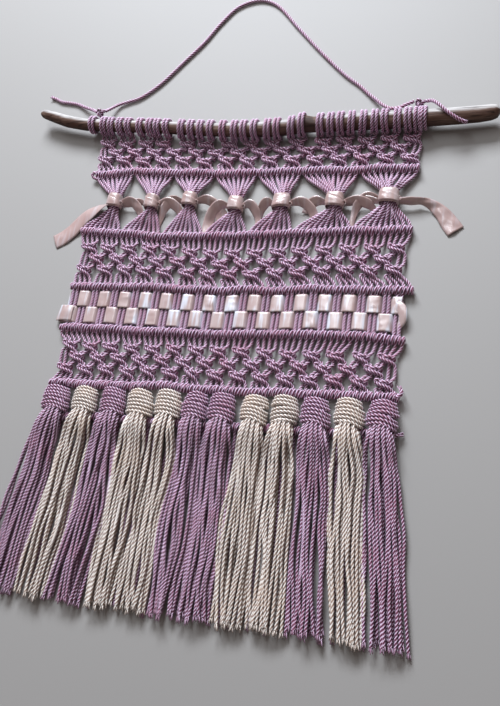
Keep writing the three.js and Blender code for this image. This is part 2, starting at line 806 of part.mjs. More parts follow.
/** A small round knot. */
function knotGeometry(knot) {
  const [a, b, c] = knot.half;
  const ball = new THREE.SphereGeometry(1, 8, 5);
  ball.scale(a, b, c);
  ball.translate(knot.x, knot.y, knot.z);
  return ball;
}

// ---- The scene graph ----
const wallHanging = new THREE.Group();

function add(name, geometry, material) {
  const mesh = new THREE.Mesh(geometry, material);
  mesh.name = name;
  wallHanging.add(mesh);
}

add("rod", rodGeometry(), FINISH.wood);
for (const name of Object.keys(BANDS)) add(name, bandGeometry(name), FINISH.mauve);
for (const name of Object.keys(BARS)) {
  add(name, name === "row_4" ? barWithWarps() : barGeometry(name), FINISH.mauve);
}
BUNDLES.forEach((bundle, k) => add(`bundle_${k + 1}`, bundleGeometry(bundle), FINISH.mauve));
add("tie_ribbon", tieRibbonGeometry(), FINISH.ribbon);
add("woven_ribbon", wovenRibbonGeometry(), FINISH.ribbon);
TASSELS.forEach((tassel, k) => {
  const number = String(k + 1).padStart(2, "0");
  add(`head_${number}`, headGeometry(tassel), FINISH[tassel.colour]);
  add(`skirt_${number}`, skirtGeometry(tassel, k), FINISH[tassel.colour]);
});
add("back_fringe", backFringeGeometry(), FINISH.mauve);
for (const [name, wrap] of Object.entries(HANGER_WRAPS)) {
  add(name, ringOnRod(wrap.x, wrap.width), FINISH.mauve);
}
for (const [name, knot] of Object.entries(HANGER_KNOTS)) {
  add(name, knotGeometry(knot), FINISH.mauve);
}
add("hanger_loop", cordAlong(HANGER_LOOP, 10), FINISH.mauve);
add("hanger_end_left", cordAlong(LEFT_END, 8), FINISH.mauve);
add("hanger_end_right", cordAlong(RIGHT_END, 6), FINISH.mauve);

export default wallHanging;
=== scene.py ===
"""Dresses a macrame wall hanging that lies face up: twisted cords, satin ribbon and a driftwood rod.

Sizes are in millimetres in the row's own frame, as in the solids, and become metres when a mesh is made.
+X runs right along the rod, +Y towards the hanging cord and +Z out of the front face.
"""

import logging
import math
import random
from dataclasses import dataclass, field
from enum import Enum
from typing import Iterator, Optional, Sequence

import bmesh
import bpy
import numpy as np
from mathutils import Matrix, Vector, noise

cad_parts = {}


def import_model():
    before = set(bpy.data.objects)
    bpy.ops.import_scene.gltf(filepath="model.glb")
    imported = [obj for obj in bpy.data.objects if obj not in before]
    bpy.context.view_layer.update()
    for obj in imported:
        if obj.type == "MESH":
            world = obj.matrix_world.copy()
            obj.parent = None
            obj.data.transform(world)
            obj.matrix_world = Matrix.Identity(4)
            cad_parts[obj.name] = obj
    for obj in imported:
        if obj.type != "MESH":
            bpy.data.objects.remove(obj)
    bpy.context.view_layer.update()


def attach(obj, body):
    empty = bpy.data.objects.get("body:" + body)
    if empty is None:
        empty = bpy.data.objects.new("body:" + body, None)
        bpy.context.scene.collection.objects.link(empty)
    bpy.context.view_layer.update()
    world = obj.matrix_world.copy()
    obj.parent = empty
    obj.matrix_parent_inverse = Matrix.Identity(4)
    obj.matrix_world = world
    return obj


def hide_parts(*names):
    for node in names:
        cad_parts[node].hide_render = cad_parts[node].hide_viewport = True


LOG = logging.getLogger("wall hanging")

MM = 0.001
BODY = "root"
FULL_TURN = 2 * math.pi

Point = Sequence[float]
Colour = tuple[int, int, int]

CORD = 3.2  # thickness of every cotton cord
CORD_COUNT = 60  # cords across the panel
PLIES = 3
PANEL_LAY = 8.0  # length of one full twist of a cord under tension
FULLNESS = 1.04  # reach of the fuzzy crowns past the nominal radius
VALLEY = 0.62  # radius between two plies, as a share of the crowns' radius
RIBBON_WIDTH = 14.4
RIBBON_THICKNESS = 0.35


class Slot(Enum):
    """The record's material slots."""

    MAUVE = "mauve_cord"
    CREAM = "cream_cord"
    SATIN = "satin_ribbon"
    WOOD = "driftwood"


# ---------------------------------------------------------------- finishes


def linear(colour: Colour) -> tuple[float, float, float, float]:
    """Turns a display colour into the linear one that a shader takes.

    Args:
        colour: Red, green and blue from 0 to 255.

    Returns:
        The linear colour with an alpha of 1.
    """
    parts = [c / 255 for c in colour]
    return (*[p / 12.92 if p <= 0.04045 else ((p + 0.055) / 1.055) ** 2.4 for p in parts], 1.0)


class NodeBench:
    """A short hand for adding and wiring the nodes of one material."""

    def __init__(self, name: str) -> None:
        """Starts a material that holds a Principled shader."""
        self.material = bpy.data.materials.new(name)
        self.material.use_nodes = True
        self.tree = self.material.node_tree
        self.shader = self.tree.nodes["Principled BSDF"]
        self.place = self.add("ShaderNodeTexCoord").outputs["Object"]

    def add(self, kind: str, **settings: object) -> bpy.types.Node:
        """Adds a node.

        Args:
            kind: The node's type name.
            **settings: Properties to set on it.

        Returns:
            The new node.
        """
        node = self.tree.nodes.new(kind)
        for key, value in settings.items():
            setattr(node, key, value)
        return node

    def join(self, source: bpy.types.NodeSocket, target: bpy.types.NodeSocket) -> None:
        """Wires one socket to another."""
        self.tree.links.new(source, target)

    def noise(
        self, scale: float, detail: float = 2.0, stretch: Point = (1, 1, 1), roughness: float = 0.5
    ) -> bpy.types.NodeSocket:
        """Adds a noise over the object's own coordinates.

        Args:
            scale: Cells in a metre.
            detail: Octaves of finer noise.
            stretch: Scale of the coordinates along X, Y and Z.
            roughness: Share that each finer octave keeps.

        Returns:
            The noise's value, about 0.5 in the middle.
        """
        mapping = self.add("ShaderNodeMapping")
        mapping.inputs["Scale"].default_value = stretch
        self.join(self.place, mapping.inputs["Vector"])
        texture = self.add("ShaderNodeTexNoise")
        texture.inputs["Scale"].default_value = scale
        texture.inputs["Detail"].default_value = detail
        texture.inputs["Roughness"].default_value = roughness
        self.join(mapping.outputs["Vector"], texture.inputs["Vector"])
        return texture.outputs["Fac"]

    def spread(
        self, value: bpy.types.NodeSocket, low: float, high: float, out_low: float = 0, out_high: float = 1
    ) -> bpy.types.NodeSocket:
        """Maps a value from one range to another, held inside it.

        Args:
            value: The value to map.
            low: Input that gives out_low.
            high: Input that gives out_high.
            out_low: Lowest result.
            out_high: Highest result.

        Returns:
            The mapped value.
        """
        node = self.add("ShaderNodeMapRange", interpolation_type="SMOOTHSTEP")
        for key, number in zip(("From Min", "From Max", "To Min", "To Max"), (low, high, out_low, out_high)):
            node.inputs[key].default_value = number
        self.join(value, node.inputs["Value"])
        return node.outputs["Result"]

    def blend(
        self,
        share: bpy.types.NodeSocket,
        first: "bpy.types.NodeSocket | Colour",
        second: "bpy.types.NodeSocket | Colour",
        kind: str = "MIX",
    ) -> bpy.types.NodeSocket:
        """Mixes two colours.

        Args:
            share: How much of the second colour shows.
            first: A display colour, or a socket.
            second: A display colour, or a socket.
            kind: The mix node's blend type.

        Returns:
            The mixed colour.
        """
        node = self.add("ShaderNodeMix", data_type="RGBA", blend_type=kind)
        colours = [s for s in node.inputs if s.type == "RGBA"]
        for source, target in zip((first, second), colours):
            if isinstance(source, tuple):
                target.default_value = linear(source)
            else:
                self.join(source, target)
        self.join(share, node.inputs["Factor"])
        return next(s for s in node.outputs if s.type == "RGBA")

    def bump(
        self,
        height: bpy.types.NodeSocket,
        strength: float,
        depth: float,
        base: Optional[bpy.types.NodeSocket] = None,
    ) -> bpy.types.NodeSocket:
        """Adds fine relief.

        Args:
            height: The relief's height, from 0 to 1.
            strength: How strongly it shows.
            depth: Its full depth in millimetres.
            base: Relief that it lies on.

        Returns:
            The relief's normal.
        """
        node = self.add("ShaderNodeBump")
        node.inputs["Strength"].default_value = strength
        node.inputs["Distance"].default_value = depth * MM
        self.join(height, node.inputs["Height"])
        if base is not None:
            self.join(base, node.inputs["Normal"])
        return node.outputs["Normal"]


@dataclass(frozen=True)
class CordFinish:
    """Matt cotton cord, a little fuzzy, with painted shade between the plies and painted highlight on their
    crowns.
    """

    slot: Slot
    # the crown colour is painted highlight on the plies' crowns, the valley colour painted shade between the
    # plies and between neighbouring strands
    crown_highlight: Colour
    middle: Colour
    valley_shade: Colour
    warm: Colour
    fringe_lay: float  # length of one full twist of a cord that hangs free
    roughness: float = 0.55
    shine: float = 0.45
    sheen: float = 0.2

    def material(self) -> bpy.types.Material:
        """Builds the cord's material.

        Returns:
            The cord's material.
        """
        bench = NodeBench(self.slot.value)
        # painted shade in the ply valleys and painted highlight on the crowns, placed by the "ply" attribute
        ply = bench.add("ShaderNodeAttribute", attribute_name="ply").outputs["Fac"]
        body = bench.blend(bench.spread(ply, 0.05, 0.6), self.valley_shade, self.middle)
        ply_light_and_shade = bench.blend(bench.spread(ply, 0.5, 0.95), body, self.crown_highlight)
        patches = bench.spread(bench.noise(55, 3), 0.45, 0.75, 0, 0.32)
        mottled = bench.blend(patches, ply_light_and_shade, self.warm)
        fibres = bench.noise(1600, 3, roughness=0.65)
        flecked = bench.blend(bench.spread(fibres, 0.58, 0.8, 0, 0.3), mottled, self.crown_highlight)
        # painted shade darkens the sides of a strand that face its neighbours
        openness = bench.add("ShaderNodeAttribute", attribute_name="open").outputs["Fac"]
        nest_shaded = bench.blend(bench.spread(openness, 0.1, 0.75, 0.78, 0), flecked, self.valley_shade)
        bench.join(nest_shaded, bench.shader.inputs["Base Color"])
        bench.join(bench.bump(fibres, 0.5, 0.25), bench.shader.inputs["Normal"])
        bench.shader.inputs["Roughness"].default_value = self.roughness
        bench.shader.inputs["Specular IOR Level"].default_value = self.shine
        bench.shader.inputs["Sheen Weight"].default_value = self.sheen
        bench.shader.inputs["Sheen Roughness"].default_value = 0.5
        bench.shader.inputs["Sheen Tint"].default_value = linear(self.crown_highlight)
        return bench.material


@dataclass(frozen=True)
class SatinFinish:
    """Thin satin ribbon: smooth and shiny along its floats, with faint threads across, painted highlight
    streaks, and a darker copy of its colour that paints shade on the tie.
    """

    slot: Slot = Slot.SATIN
    colour: Colour = (192, 169, 166)
    shade: Colour = (172, 140, 135)
    # a darker copy of the colour, painted shade where the painted gleam is low, as on the tie
    shaded_rosy: Colour = (176, 147, 142)  # where it has no gleam
    # the pale colour of the painted highlight streaks
    painted_glint: Colour = (224, 229, 240)
    roughness: float = 0.3
    shine: float = 0.8
    coat: float = 0.3
    coat_roughness: float = 0.16
    sheen: float = 0.1

    def material(self) -> bpy.types.Material:
        """Builds the ribbon's material.

        Returns:
            The ribbon's material.
        """
        bench = NodeBench(self.slot.value)
        clouds = bench.spread(bench.noise(120, 2), 0.4, 0.7, 0, 0.6)
        # the tie takes the darker copy as painted shade, and both ribbons take painted highlight streaks by
        # their gleam
        gleam = bench.add("ShaderNodeAttribute", attribute_name="gleam").outputs["Fac"]
        clouded = bench.blend(clouds, bench.blend(gleam, self.shaded_rosy, self.colour), self.shade)
        # painted highlight: long pale streaks along the floats, as strong as the gleam
        streaks = bench.spread(bench.noise(260, 1, stretch=(1, 0.14, 0.3)), 0.48, 0.7, 0, 0.85)
        share = bench.add("ShaderNodeMath", operation="MULTIPLY")
        bench.join(streaks, share.inputs[0])
        bench.join(gleam, share.inputs[1])
        base = bench.blend(share.outputs[0], clouded, self.painted_glint)
        bench.join(base, bench.shader.inputs["Base Color"])
        threads = bench.noise(500, 2, stretch=(0.35, 5, 1))
        soft = bench.bump(bench.noise(160, 1), 0.2, 0.5)
        bench.join(bench.bump(threads, 0.12, 0.06, soft), bench.shader.inputs["Normal"])
        bench.shader.inputs["Roughness"].default_value = self.roughness
        bench.shader.inputs["Specular IOR Level"].default_value = self.shine
        bench.shader.inputs["Coat Weight"].default_value = self.coat
        bench.shader.inputs["Coat Roughness"].default_value = self.coat_roughness
        bench.shader.inputs["Sheen Weight"].default_value = self.sheen
        return bench.material


@dataclass(frozen=True)
class DriftwoodFinish:
    """Bare weathered wood: long grey and brown grain with darker checks, pale grey painted light on its
    upper side and painted shade underneath.
    """

    slot: Slot = Slot.WOOD
    # the pale grey of the painted light on the upper side
    lit_top: Colour = (186, 182, 180)
    pale: Colour = (128, 104, 90)
    brown: Colour = (84, 57, 46)
    # dark colour for the checks and for the painted shade underneath
    dark: Colour = (40, 25, 20)
    roughness: float = 0.7
    shine: float = 0.35

    def material(self) -> bpy.types.Material:
        """Builds the wood's material.

        Returns:
            The wood's material.
        """
        bench = NodeBench(self.slot.value)
        grain = bench.noise(420, 5, stretch=(0.1, 1, 1), roughness=0.65)
        broad = bench.noise(60, 3, stretch=(0.3, 1, 1))
        checks = bench.noise(700, 3, stretch=(0.05, 1, 1))
        weathered = bench.blend(bench.spread(grain, 0.3, 0.7), self.brown, self.pale)
        patched = bench.blend(bench.spread(broad, 0.42, 0.66, 0, 0.8), weathered, self.brown)
        # painted light: pale grey on the upper side, which faces the lamp, and painted shade underneath,
        # from the rod's attribute
        weather = bench.add("ShaderNodeAttribute", attribute_name="weather").outputs["Fac"]
        uneven = bench.add("ShaderNodeMath", operation="MULTIPLY_ADD")
        uneven.inputs[1].default_value = 0.35
        bench.join(grain, uneven.inputs[0])
        bench.join(weather, uneven.inputs[2])
        top_lit = bench.blend(bench.spread(uneven.outputs[0], 0.86, 1.08), patched, self.lit_top)
        shaded = bench.blend(bench.spread(weather, 0.0, 0.4, 0.7, 0), top_lit, self.dark)
        checked = bench.blend(bench.spread(checks, 0.54, 0.68, 0, 0.85), shaded, self.dark)
        bench.join(checked, bench.shader.inputs["Base Color"])
        relief = bench.bump(grain, 0.6, 0.6)
        bench.join(bench.bump(checks, 0.5, -0.5, relief), bench.shader.inputs["Normal"])
        bench.shader.inputs["Roughness"].default_value = self.roughness
        bench.shader.inputs["Specular IOR Level"].default_value = self.shine
        return bench.material


# each cord's crown colour is its painted highlight and its valley colour its painted shade
MAUVE = CordFinish(
    Slot.MAUVE,
    crown_highlight=(248, 232, 255),
    middle=(165, 93, 129),
    valley_shade=(48, 8, 20),
    warm=(161, 89, 112),
    fringe_lay=8.6,
)
CREAM = CordFinish(
    Slot.CREAM,
    crown_highlight=(255, 252, 248),
    middle=(236, 220, 208),
    valley_shade=(112, 76, 58),
    warm=(222, 192, 168),
    fringe_lay=10.9,
)
SATIN = SatinFinish()
DRIFTWOOD = DriftwoodFinish()


Finish = CordFinish | SatinFinish | DriftwoodFinish


class Wardrobe:
    """Builds each finish's material once."""

    def __init__(self) -> None:
        """Starts empty."""
        self.made: dict[Slot, bpy.types.Material] = {}

    def of(self, finish: Finish) -> bpy.types.Material:
        """Gives a finish's material, made on first use."""
        if finish.slot not in self.made:
            self.made[finish.slot] = finish.material()
        return self.made[finish.slot]


WARDROBE = Wardrobe()


def settle_piece(
    name: str, mesh: bpy.types.Mesh, finish: Finish, nodes: Sequence[str]
) -> bpy.types.Object:
    """Makes a mesh a piece of the hanging, dressed and riding on its body.

    Args:
        name: The piece's name.
        mesh: Its mesh, in metres, in the row's frame.
        finish: What it is made of.
        nodes: The solids that it stands for, if any.

    Returns:
        The piece's object.
    """
    mesh.shade_smooth()
    mesh.materials.clear()
    mesh.materials.append(WARDROBE.of(finish))
    piece = bpy.data.objects.new(name, mesh)
    bpy.context.scene.collection.objects.link(piece)
    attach(piece, BODY)
    if nodes:
        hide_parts(*nodes)
    LOG.info("%s: %d faces", name, len(mesh.polygons))
    return piece


# ---------------------------------------------------------------- cord making


def smooth_path(points: Sequence[Point], step: float) -> np.ndarray:
    """Runs a smooth curve through given points.

    Args:
        points: The points, each with any number of columns; the first three are a place.
        step: Distance between two samples.

    Returns:
        The samples, one row each, at even distances.
    """
    samples = 10
    p = np.asarray(points, float)
    spans = np.linalg.norm(np.diff(p[:, :3], axis=0), axis=1)[:, None] ** 0.5
    slopes = np.diff(p, axis=0) / spans
    inner = slopes[:-1] + slopes[1:] - (p[2:] - p[:-2]) / (spans[:-1] + spans[1:])
    tangents = np.vstack([slopes[:1], inner, slopes[-1:]])
    t = np.linspace(0, 1, samples, endpoint=False)[:, None, None]
    start, end = tangents[:-1] * spans, tangents[1:] * spans
    curve = (2 * t**3 - 3 * t**2 + 1) * p[:-1] + (t**3 - 2 * t**2 + t) * start
    curve = curve + (3 * t**2 - 2 * t**3) * p[1:] + (t**3 - t**2) * end
    dense = np.vstack([curve.transpose(1, 0, 2).reshape(-1, p.shape[1]), p[-1:]])
    run = np.concatenate([[0], np.cumsum(np.linalg.norm(np.diff(dense[:, :3], axis=0), axis=1))])
    at = np.linspace(0, run[-1], max(3, round(run[-1] / step) + 1))
    return np.column_stack([np.interp(at, run, column) for column in dense.T])


def mix(start: float, end: float, share: float) -> float:
    """Gives the value a share of the way from start to end."""
    return start + (end - start) * share


def path_length(path: np.ndarray) -> float:
    """Gives the length of a path in millimetres."""
    return float(np.linalg.norm(np.diff(path[:, :3], axis=0), axis=1).sum())


@dataclass
class Strand:
    """One length of cord, ready to be swept along its path."""

    path: np.ndarray
    thickness: np.ndarray
    turns: float
    phase: float = 0.0
    closed: bool = False
    # sets where shade is painted on the sides that face a neighbouring strand
    outward: Optional[np.ndarray] = None  # the way its open side faces, where it lies among others

    def openness(self, places: np.ndarray) -> np.ndarray:
        """Tells how openly each corner of the swept strand lies, which sets the painted shade on the sides
        that face a neighbour.

        Args:
            places: The corners in metres, section by section.

        Returns:
            For each corner, 1 if it faces out and 0 if it faces a neighbouring strand.
        """
        if self.outward is None:
            return np.ones(len(places))
        offsets = places.reshape(len(self.path), -1, 3) - self.path[:, None, :3] * MM
        offsets /= np.linalg.norm(offsets, axis=2, keepdims=True)
        return np.abs(np.einsum("psk,pk->ps", offsets, self.outward)).ravel()


class CordWork:
    """Gathers the strands of one piece and sweeps them into one mesh of twisted cord."""

    section: Optional[bpy.types.Object] = None

    def __init__(
        self, name: str, finish: CordFinish, lay: float = PANEL_LAY, step: float = 0.95, nest_shade: float = 1.0
    ) -> None:
        """Starts a piece.

        Args:
            name: The piece's name, which also seeds its random draws.
            finish: The cord's finish.
            lay: Length of one full twist.
            step: Length of cord between two sections.
            nest_shade: How deep the painted shade is on the sides that face a neighbouring strand.
        """
        self.name = name
        self.finish = finish
        self.lay = lay
        self.step = step
        self.nest_shade = nest_shade
        self.strands: list[Strand] = []
        self.random = random.Random(name)

    @classmethod
    def cord_section(cls) -> bpy.types.Object:
        """Gives the cord's section: a star with one point for each ply.

        Returns:
            The section, as a closed curve's object.
        """
        if cls.section is None:
            outline = bpy.data.curves.new("cord_section", "CURVE")
            spline = outline.splines.new("POLY")
            corners = 2 * PLIES
            spline.points.add(corners - 1)
            for k, point in enumerate(spline.points):
                reach = CORD / 2 * FULLNESS * MM * (1 if k % 2 == 0 else VALLEY)
                angle = -FULL_TURN * k / corners
                point.co = (reach * math.cos(angle), reach * math.sin(angle), 0, 1)
            spline.use_cyclic_u = True
            cls.section = bpy.data.objects.new("cord_section", outline)
            bpy.context.scene.collection.objects.link(cls.section)
        return cls.section

    @classmethod
    def drop_section(cls) -> None:
        """Removes the cord's section once every piece is swept."""
        if cls.section is not None:
            outline = cls.section.data
            bpy.data.objects.remove(cls.section)
            bpy.data.curves.remove(outline)
            cls.section = None

    def run(
        self,
        points: Sequence[Point],
        thickness: float = 1.0,
        frayed: bool = False,
        step: Optional[float] = None,
        outward: Optional[Point] = None,
    ) -> np.ndarray:
        """Lays a strand through points.

        Args:
            points: Its centre line, in millimetres.
            thickness: Share of the cord's full thickness.
            frayed: Whether the last end is cut and opens into its plies.
            step: Length of cord between two sections, if not the piece's own.
            outward: The way its open side faces, where it lies among others.

        Returns:
            The strand's sampled centre line.
        """
        path = smooth_path(points, step or self.step)
        widths = np.full(len(path), thickness)
        turns = path_length(path) / self.lay
        facing = None if outward is None else np.tile(np.asarray(outward, float), (len(path), 1))
        self.strands.append(Strand(path, widths, turns, self.random.uniform(0, FULL_TURN), outward=facing))
        if frayed:
            self.fray(path, thickness)
        return path

    def fray(self, path: np.ndarray, thickness: float, reach: float = 3.4) -> None:
        """Opens a strand's cut end into its plies.

        Args:
            path: The strand's centre line.
            thickness: Share of the cord's full thickness.
            reach: How far the loose plies reach.
        """
        end = Vector(path[-1])
        ahead = (end - Vector(path[-3])).normalized()
        side = ahead.orthogonal().normalized()
        start_angle = self.random.uniform(0, FULL_TURN)
        for k in range(PLIES):
            out = Matrix.Rotation(start_angle + k * FULL_TURN / PLIES, 3, ahead) @ side
            length = reach * self.random.uniform(0.6, 1.2)
            spread = self.random.uniform(0.5, 1.1)
            stops = [
                end - ahead * 0.6 + out * 0.6,
                end + ahead * length * 0.4 + out * (0.7 + 0.3 * spread),
                end + ahead * length + out * (0.7 + spread),
            ]
            low = CORD * 0.25
            ply = np.array([(s.x, s.y, max(s.z, low)) for s in stops])
            self.strands.append(Strand(ply, thickness * np.array([0.5, 0.46, 0.3]), 0.0))

    def ring(self, points: Sequence[Point], turns: int, thickness: float = 1.0) -> None:
        """Lays a closed turn of cord.

        Args:
            points: Its centre line, in millimetres, at even distances.
            turns: Full twists in it, a whole number so that it closes.
            thickness: Share of the cord's full thickness.
        """
        path = np.asarray(points, float)
        phase = self.random.uniform(0, FULL_TURN)
        outward = path - path.mean(axis=0)
        outward /= np.linalg.norm(outward, axis=1)[:, None]
        self.strands.append(Strand(path, np.full(len(path), thickness), turns, phase, True, outward))

    def sweep(self) -> bpy.types.Mesh:
        """Sweeps all strands into one mesh and marks the crowns of the plies.

        Returns:
            The mesh, in metres, with the attributes "ply", 1 on the plies' crowns, where highlight is
            painted, and 0 in their valleys, where shade is painted, and "open", 1 where it faces out and 0
            where it faces a neighbouring strand, where shade is painted.
        """
        curve = bpy.data.curves.new(self.name, "CURVE")
        curve.dimensions = "3D"
        curve.twist_mode = "MINIMUM"
        curve.bevel_mode = "OBJECT"
        curve.bevel_object = self.cord_section()
        curve.use_fill_caps = True
        for strand in self.strands:
            count = len(strand.path)
            spline = curve.splines.new("POLY")
            spline.points.add(count - 1)
            places = np.column_stack([strand.path[:, :3] * MM, np.ones(count)])
            shares = np.arange(count) / (count if strand.closed else count - 1)
            spline.points.foreach_set("co", places.ravel())
            spline.points.foreach_set("tilt", FULL_TURN * strand.turns * shares + strand.phase)
            spline.points.foreach_set("radius", strand.thickness)
            spline.use_cyclic_u = strand.closed
        swept = bpy.data.objects.new(self.name, curve)
        bpy.context.scene.collection.objects.link(swept)
        graph = bpy.context.evaluated_depsgraph_get()
        mesh = bpy.data.meshes.new_from_object(swept.evaluated_get(graph))
        bpy.data.objects.remove(swept)
        bpy.data.curves.remove(curve)
        # "ply" places the painted highlight on the crowns and the painted shade in the valleys
        ply = mesh.attributes.new("ply", "FLOAT", "POINT")
        ply.data.foreach_set("value", np.resize([1.0, 0.0], len(mesh.vertices)))
        places = np.empty(3 * len(mesh.vertices), np.float32)
        mesh.vertices.foreach_get("co", places)
        ends = np.cumsum([2 * PLIES * len(strand.path) for strand in self.strands])
        caps = len(mesh.vertices) - ends[-1]  # the caps' own corners come first
        parts = np.split(places.reshape(-1, 3)[caps:], ends[:-1])
        shares = [np.ones(caps)] + [strand.openness(part) for strand, part in zip(self.strands, parts)]
        # painted shade on the sides that face a neighbouring strand
        lightness = 1 - self.nest_shade * (1 - np.concatenate(shares))
        openness = mesh.attributes.new("open", "FLOAT", "POINT")
        openness.data.foreach_set("value", lightness.astype(np.float32))
        shell = bmesh.new()
        shell.from_mesh(mesh)
        bmesh.ops.remove_doubles(shell, verts=shell.verts, dist=1e-7)
        shell.to_mesh(mesh)
        shell.free()
        return mesh

    def make(self, *nodes: str) -> bpy.types.Object:
        """Makes the piece.

        Args:
            *nodes: The solids that it stands for.

        Returns:
            The piece's object.
        """
        return settle_piece(self.name, self.sweep(), self.finish, nodes)


# ---------------------------------------------------------------- layout of the panel

STATIONS = (-150, -75, -4, 75, 150)


@dataclass(frozen=True)
class Bar:
    """One bar: a carrier cord covered with half hitches."""

    name: str
    left: float
    right: float
    heights: tuple[float, ...]  # y of its centre line at the five stations
    width: float = 8.0
    height: float = 7.8
    slant: float = 0.15
    turns: int = 108
    wave: float = 1.0
    hitch: float = 0.84  # thickness of a tightened hitch, as a share of the cord's
    core: float = 1.5  # thickness of the carrier cords inside, as a share of the cord's
    end_size: float = 0.86  # size of the outermost turn, as a share of the others'
    end_growth: float = 0.07  # how much larger each turn is than the one outside it
    stops: int = 18  # sections in one turn

    def y(self, x: float) -> float:
        """Gives the centre line's y, with the slight waves of handwork."""
        wave = noise.noise(Vector((x / 28, self.heights[0], 0)))
        return float(np.interp(x, STATIONS, self.heights)) + self.wave * 2 * wave

    def top(self, x: float) -> float:
        """Gives the y of the bar's upper edge."""
        return self.y(x) + self.width / 2

    def foot(self, x: float) -> float:
        """Gives the y of the bar's lower edge."""
        return self.y(x) - self.width / 2

    def cord_x(self, number: float) -> float:
        """Gives the place along the bar where a cord passes it, counted from 0 at the left."""
        return self.left + (self.right - self.left) * (number + 0.5) / CORD_COUNT

    def tie(self, work: CordWork, ends: Sequence[Sequence[Point]] = ()) -> None:
        """Ties the bar.

        Args:
            work: The cord work that it belongs to.
            ends: Centre lines of the carrier cord's ends that stick out.
        """
        cord = CORD * FULLNESS * self.hitch
        half_width, half_height = (self.width - cord) / 2, (self.height - cord) / 2
        pitch = (self.right - self.left - cord) / (self.turns - 1)
        for k in range(self.turns):
            edge = min(1.0, self.end_size + self.end_growth * min(k, self.turns - 1 - k))
            x = self.left + cord / 2 + pitch * k + work.random.gauss(0, 0.14)
            lean = self.slant + work.random.gauss(0, 0.22)
            swell = edge * (1 + work.random.gauss(0, 0.035))
            middle = self.y(x) + work.random.gauss(0, 0.1)
            points = []
            for stop in range(self.stops):
                angle = FULL_TURN * stop / self.stops
                across = math.cos(angle)
                points.append(
                    (
                        x + lean * across,
                        middle + half_width * swell * across,
                        max(cord / 2, self.height / 2 + half_height * swell * math.sin(angle)),
                    )
                )
            work.ring(points, turns=1, thickness=self.hitch)
        core = [(x, self.y(x), self.height / 2) for x in np.linspace(self.left + 1, self.right - 1, 40)]
        work.run(core, thickness=self.core, step=4)
        for end in ends:
            work.run(end, frayed=True)


BARS = {
    bar.name: bar
    for bar in (
        Bar("row_1", -148, 149, (115.4, 115, 112.6, 113, 113.6)),
        Bar("row_2", -150, 148, (56, 51, 51, 55, 57.5)),
        Bar("row_3", -147.5, 152.5, (1, 2, 0, 3, 4.3)),
        Bar("row_4", -149, 149.5, (-37.4, -37.5, -39, -35.2, -37.2)),
        Bar("row_5", -147, 149, (-89.5, -87, -86.5, -85, -82.7)),
        Bar("row_6", -146, 148, (-115.9, -115.9, -115.5, -113.5, -112.5)),
    )
}

# The carrier cords' ends, where they stick out of a bar.
BAR_ENDS = {
    "row_1": ([(-146, 115, 5), (-149.5, 115.5, 5.5), (-151, 113.5, 5), (-149, 111, 4), (-145, 110, 3.5)],),
    "row_5": ([(145, -83.5, 5), (148.5, -83, 6.5), (150.5, -80, 7), (149.5, -77, 6)],),
    "row_6": ([(144, -113, 5), (148, -112.5, 5.5), (151, -111.5, 4.6)],),
}


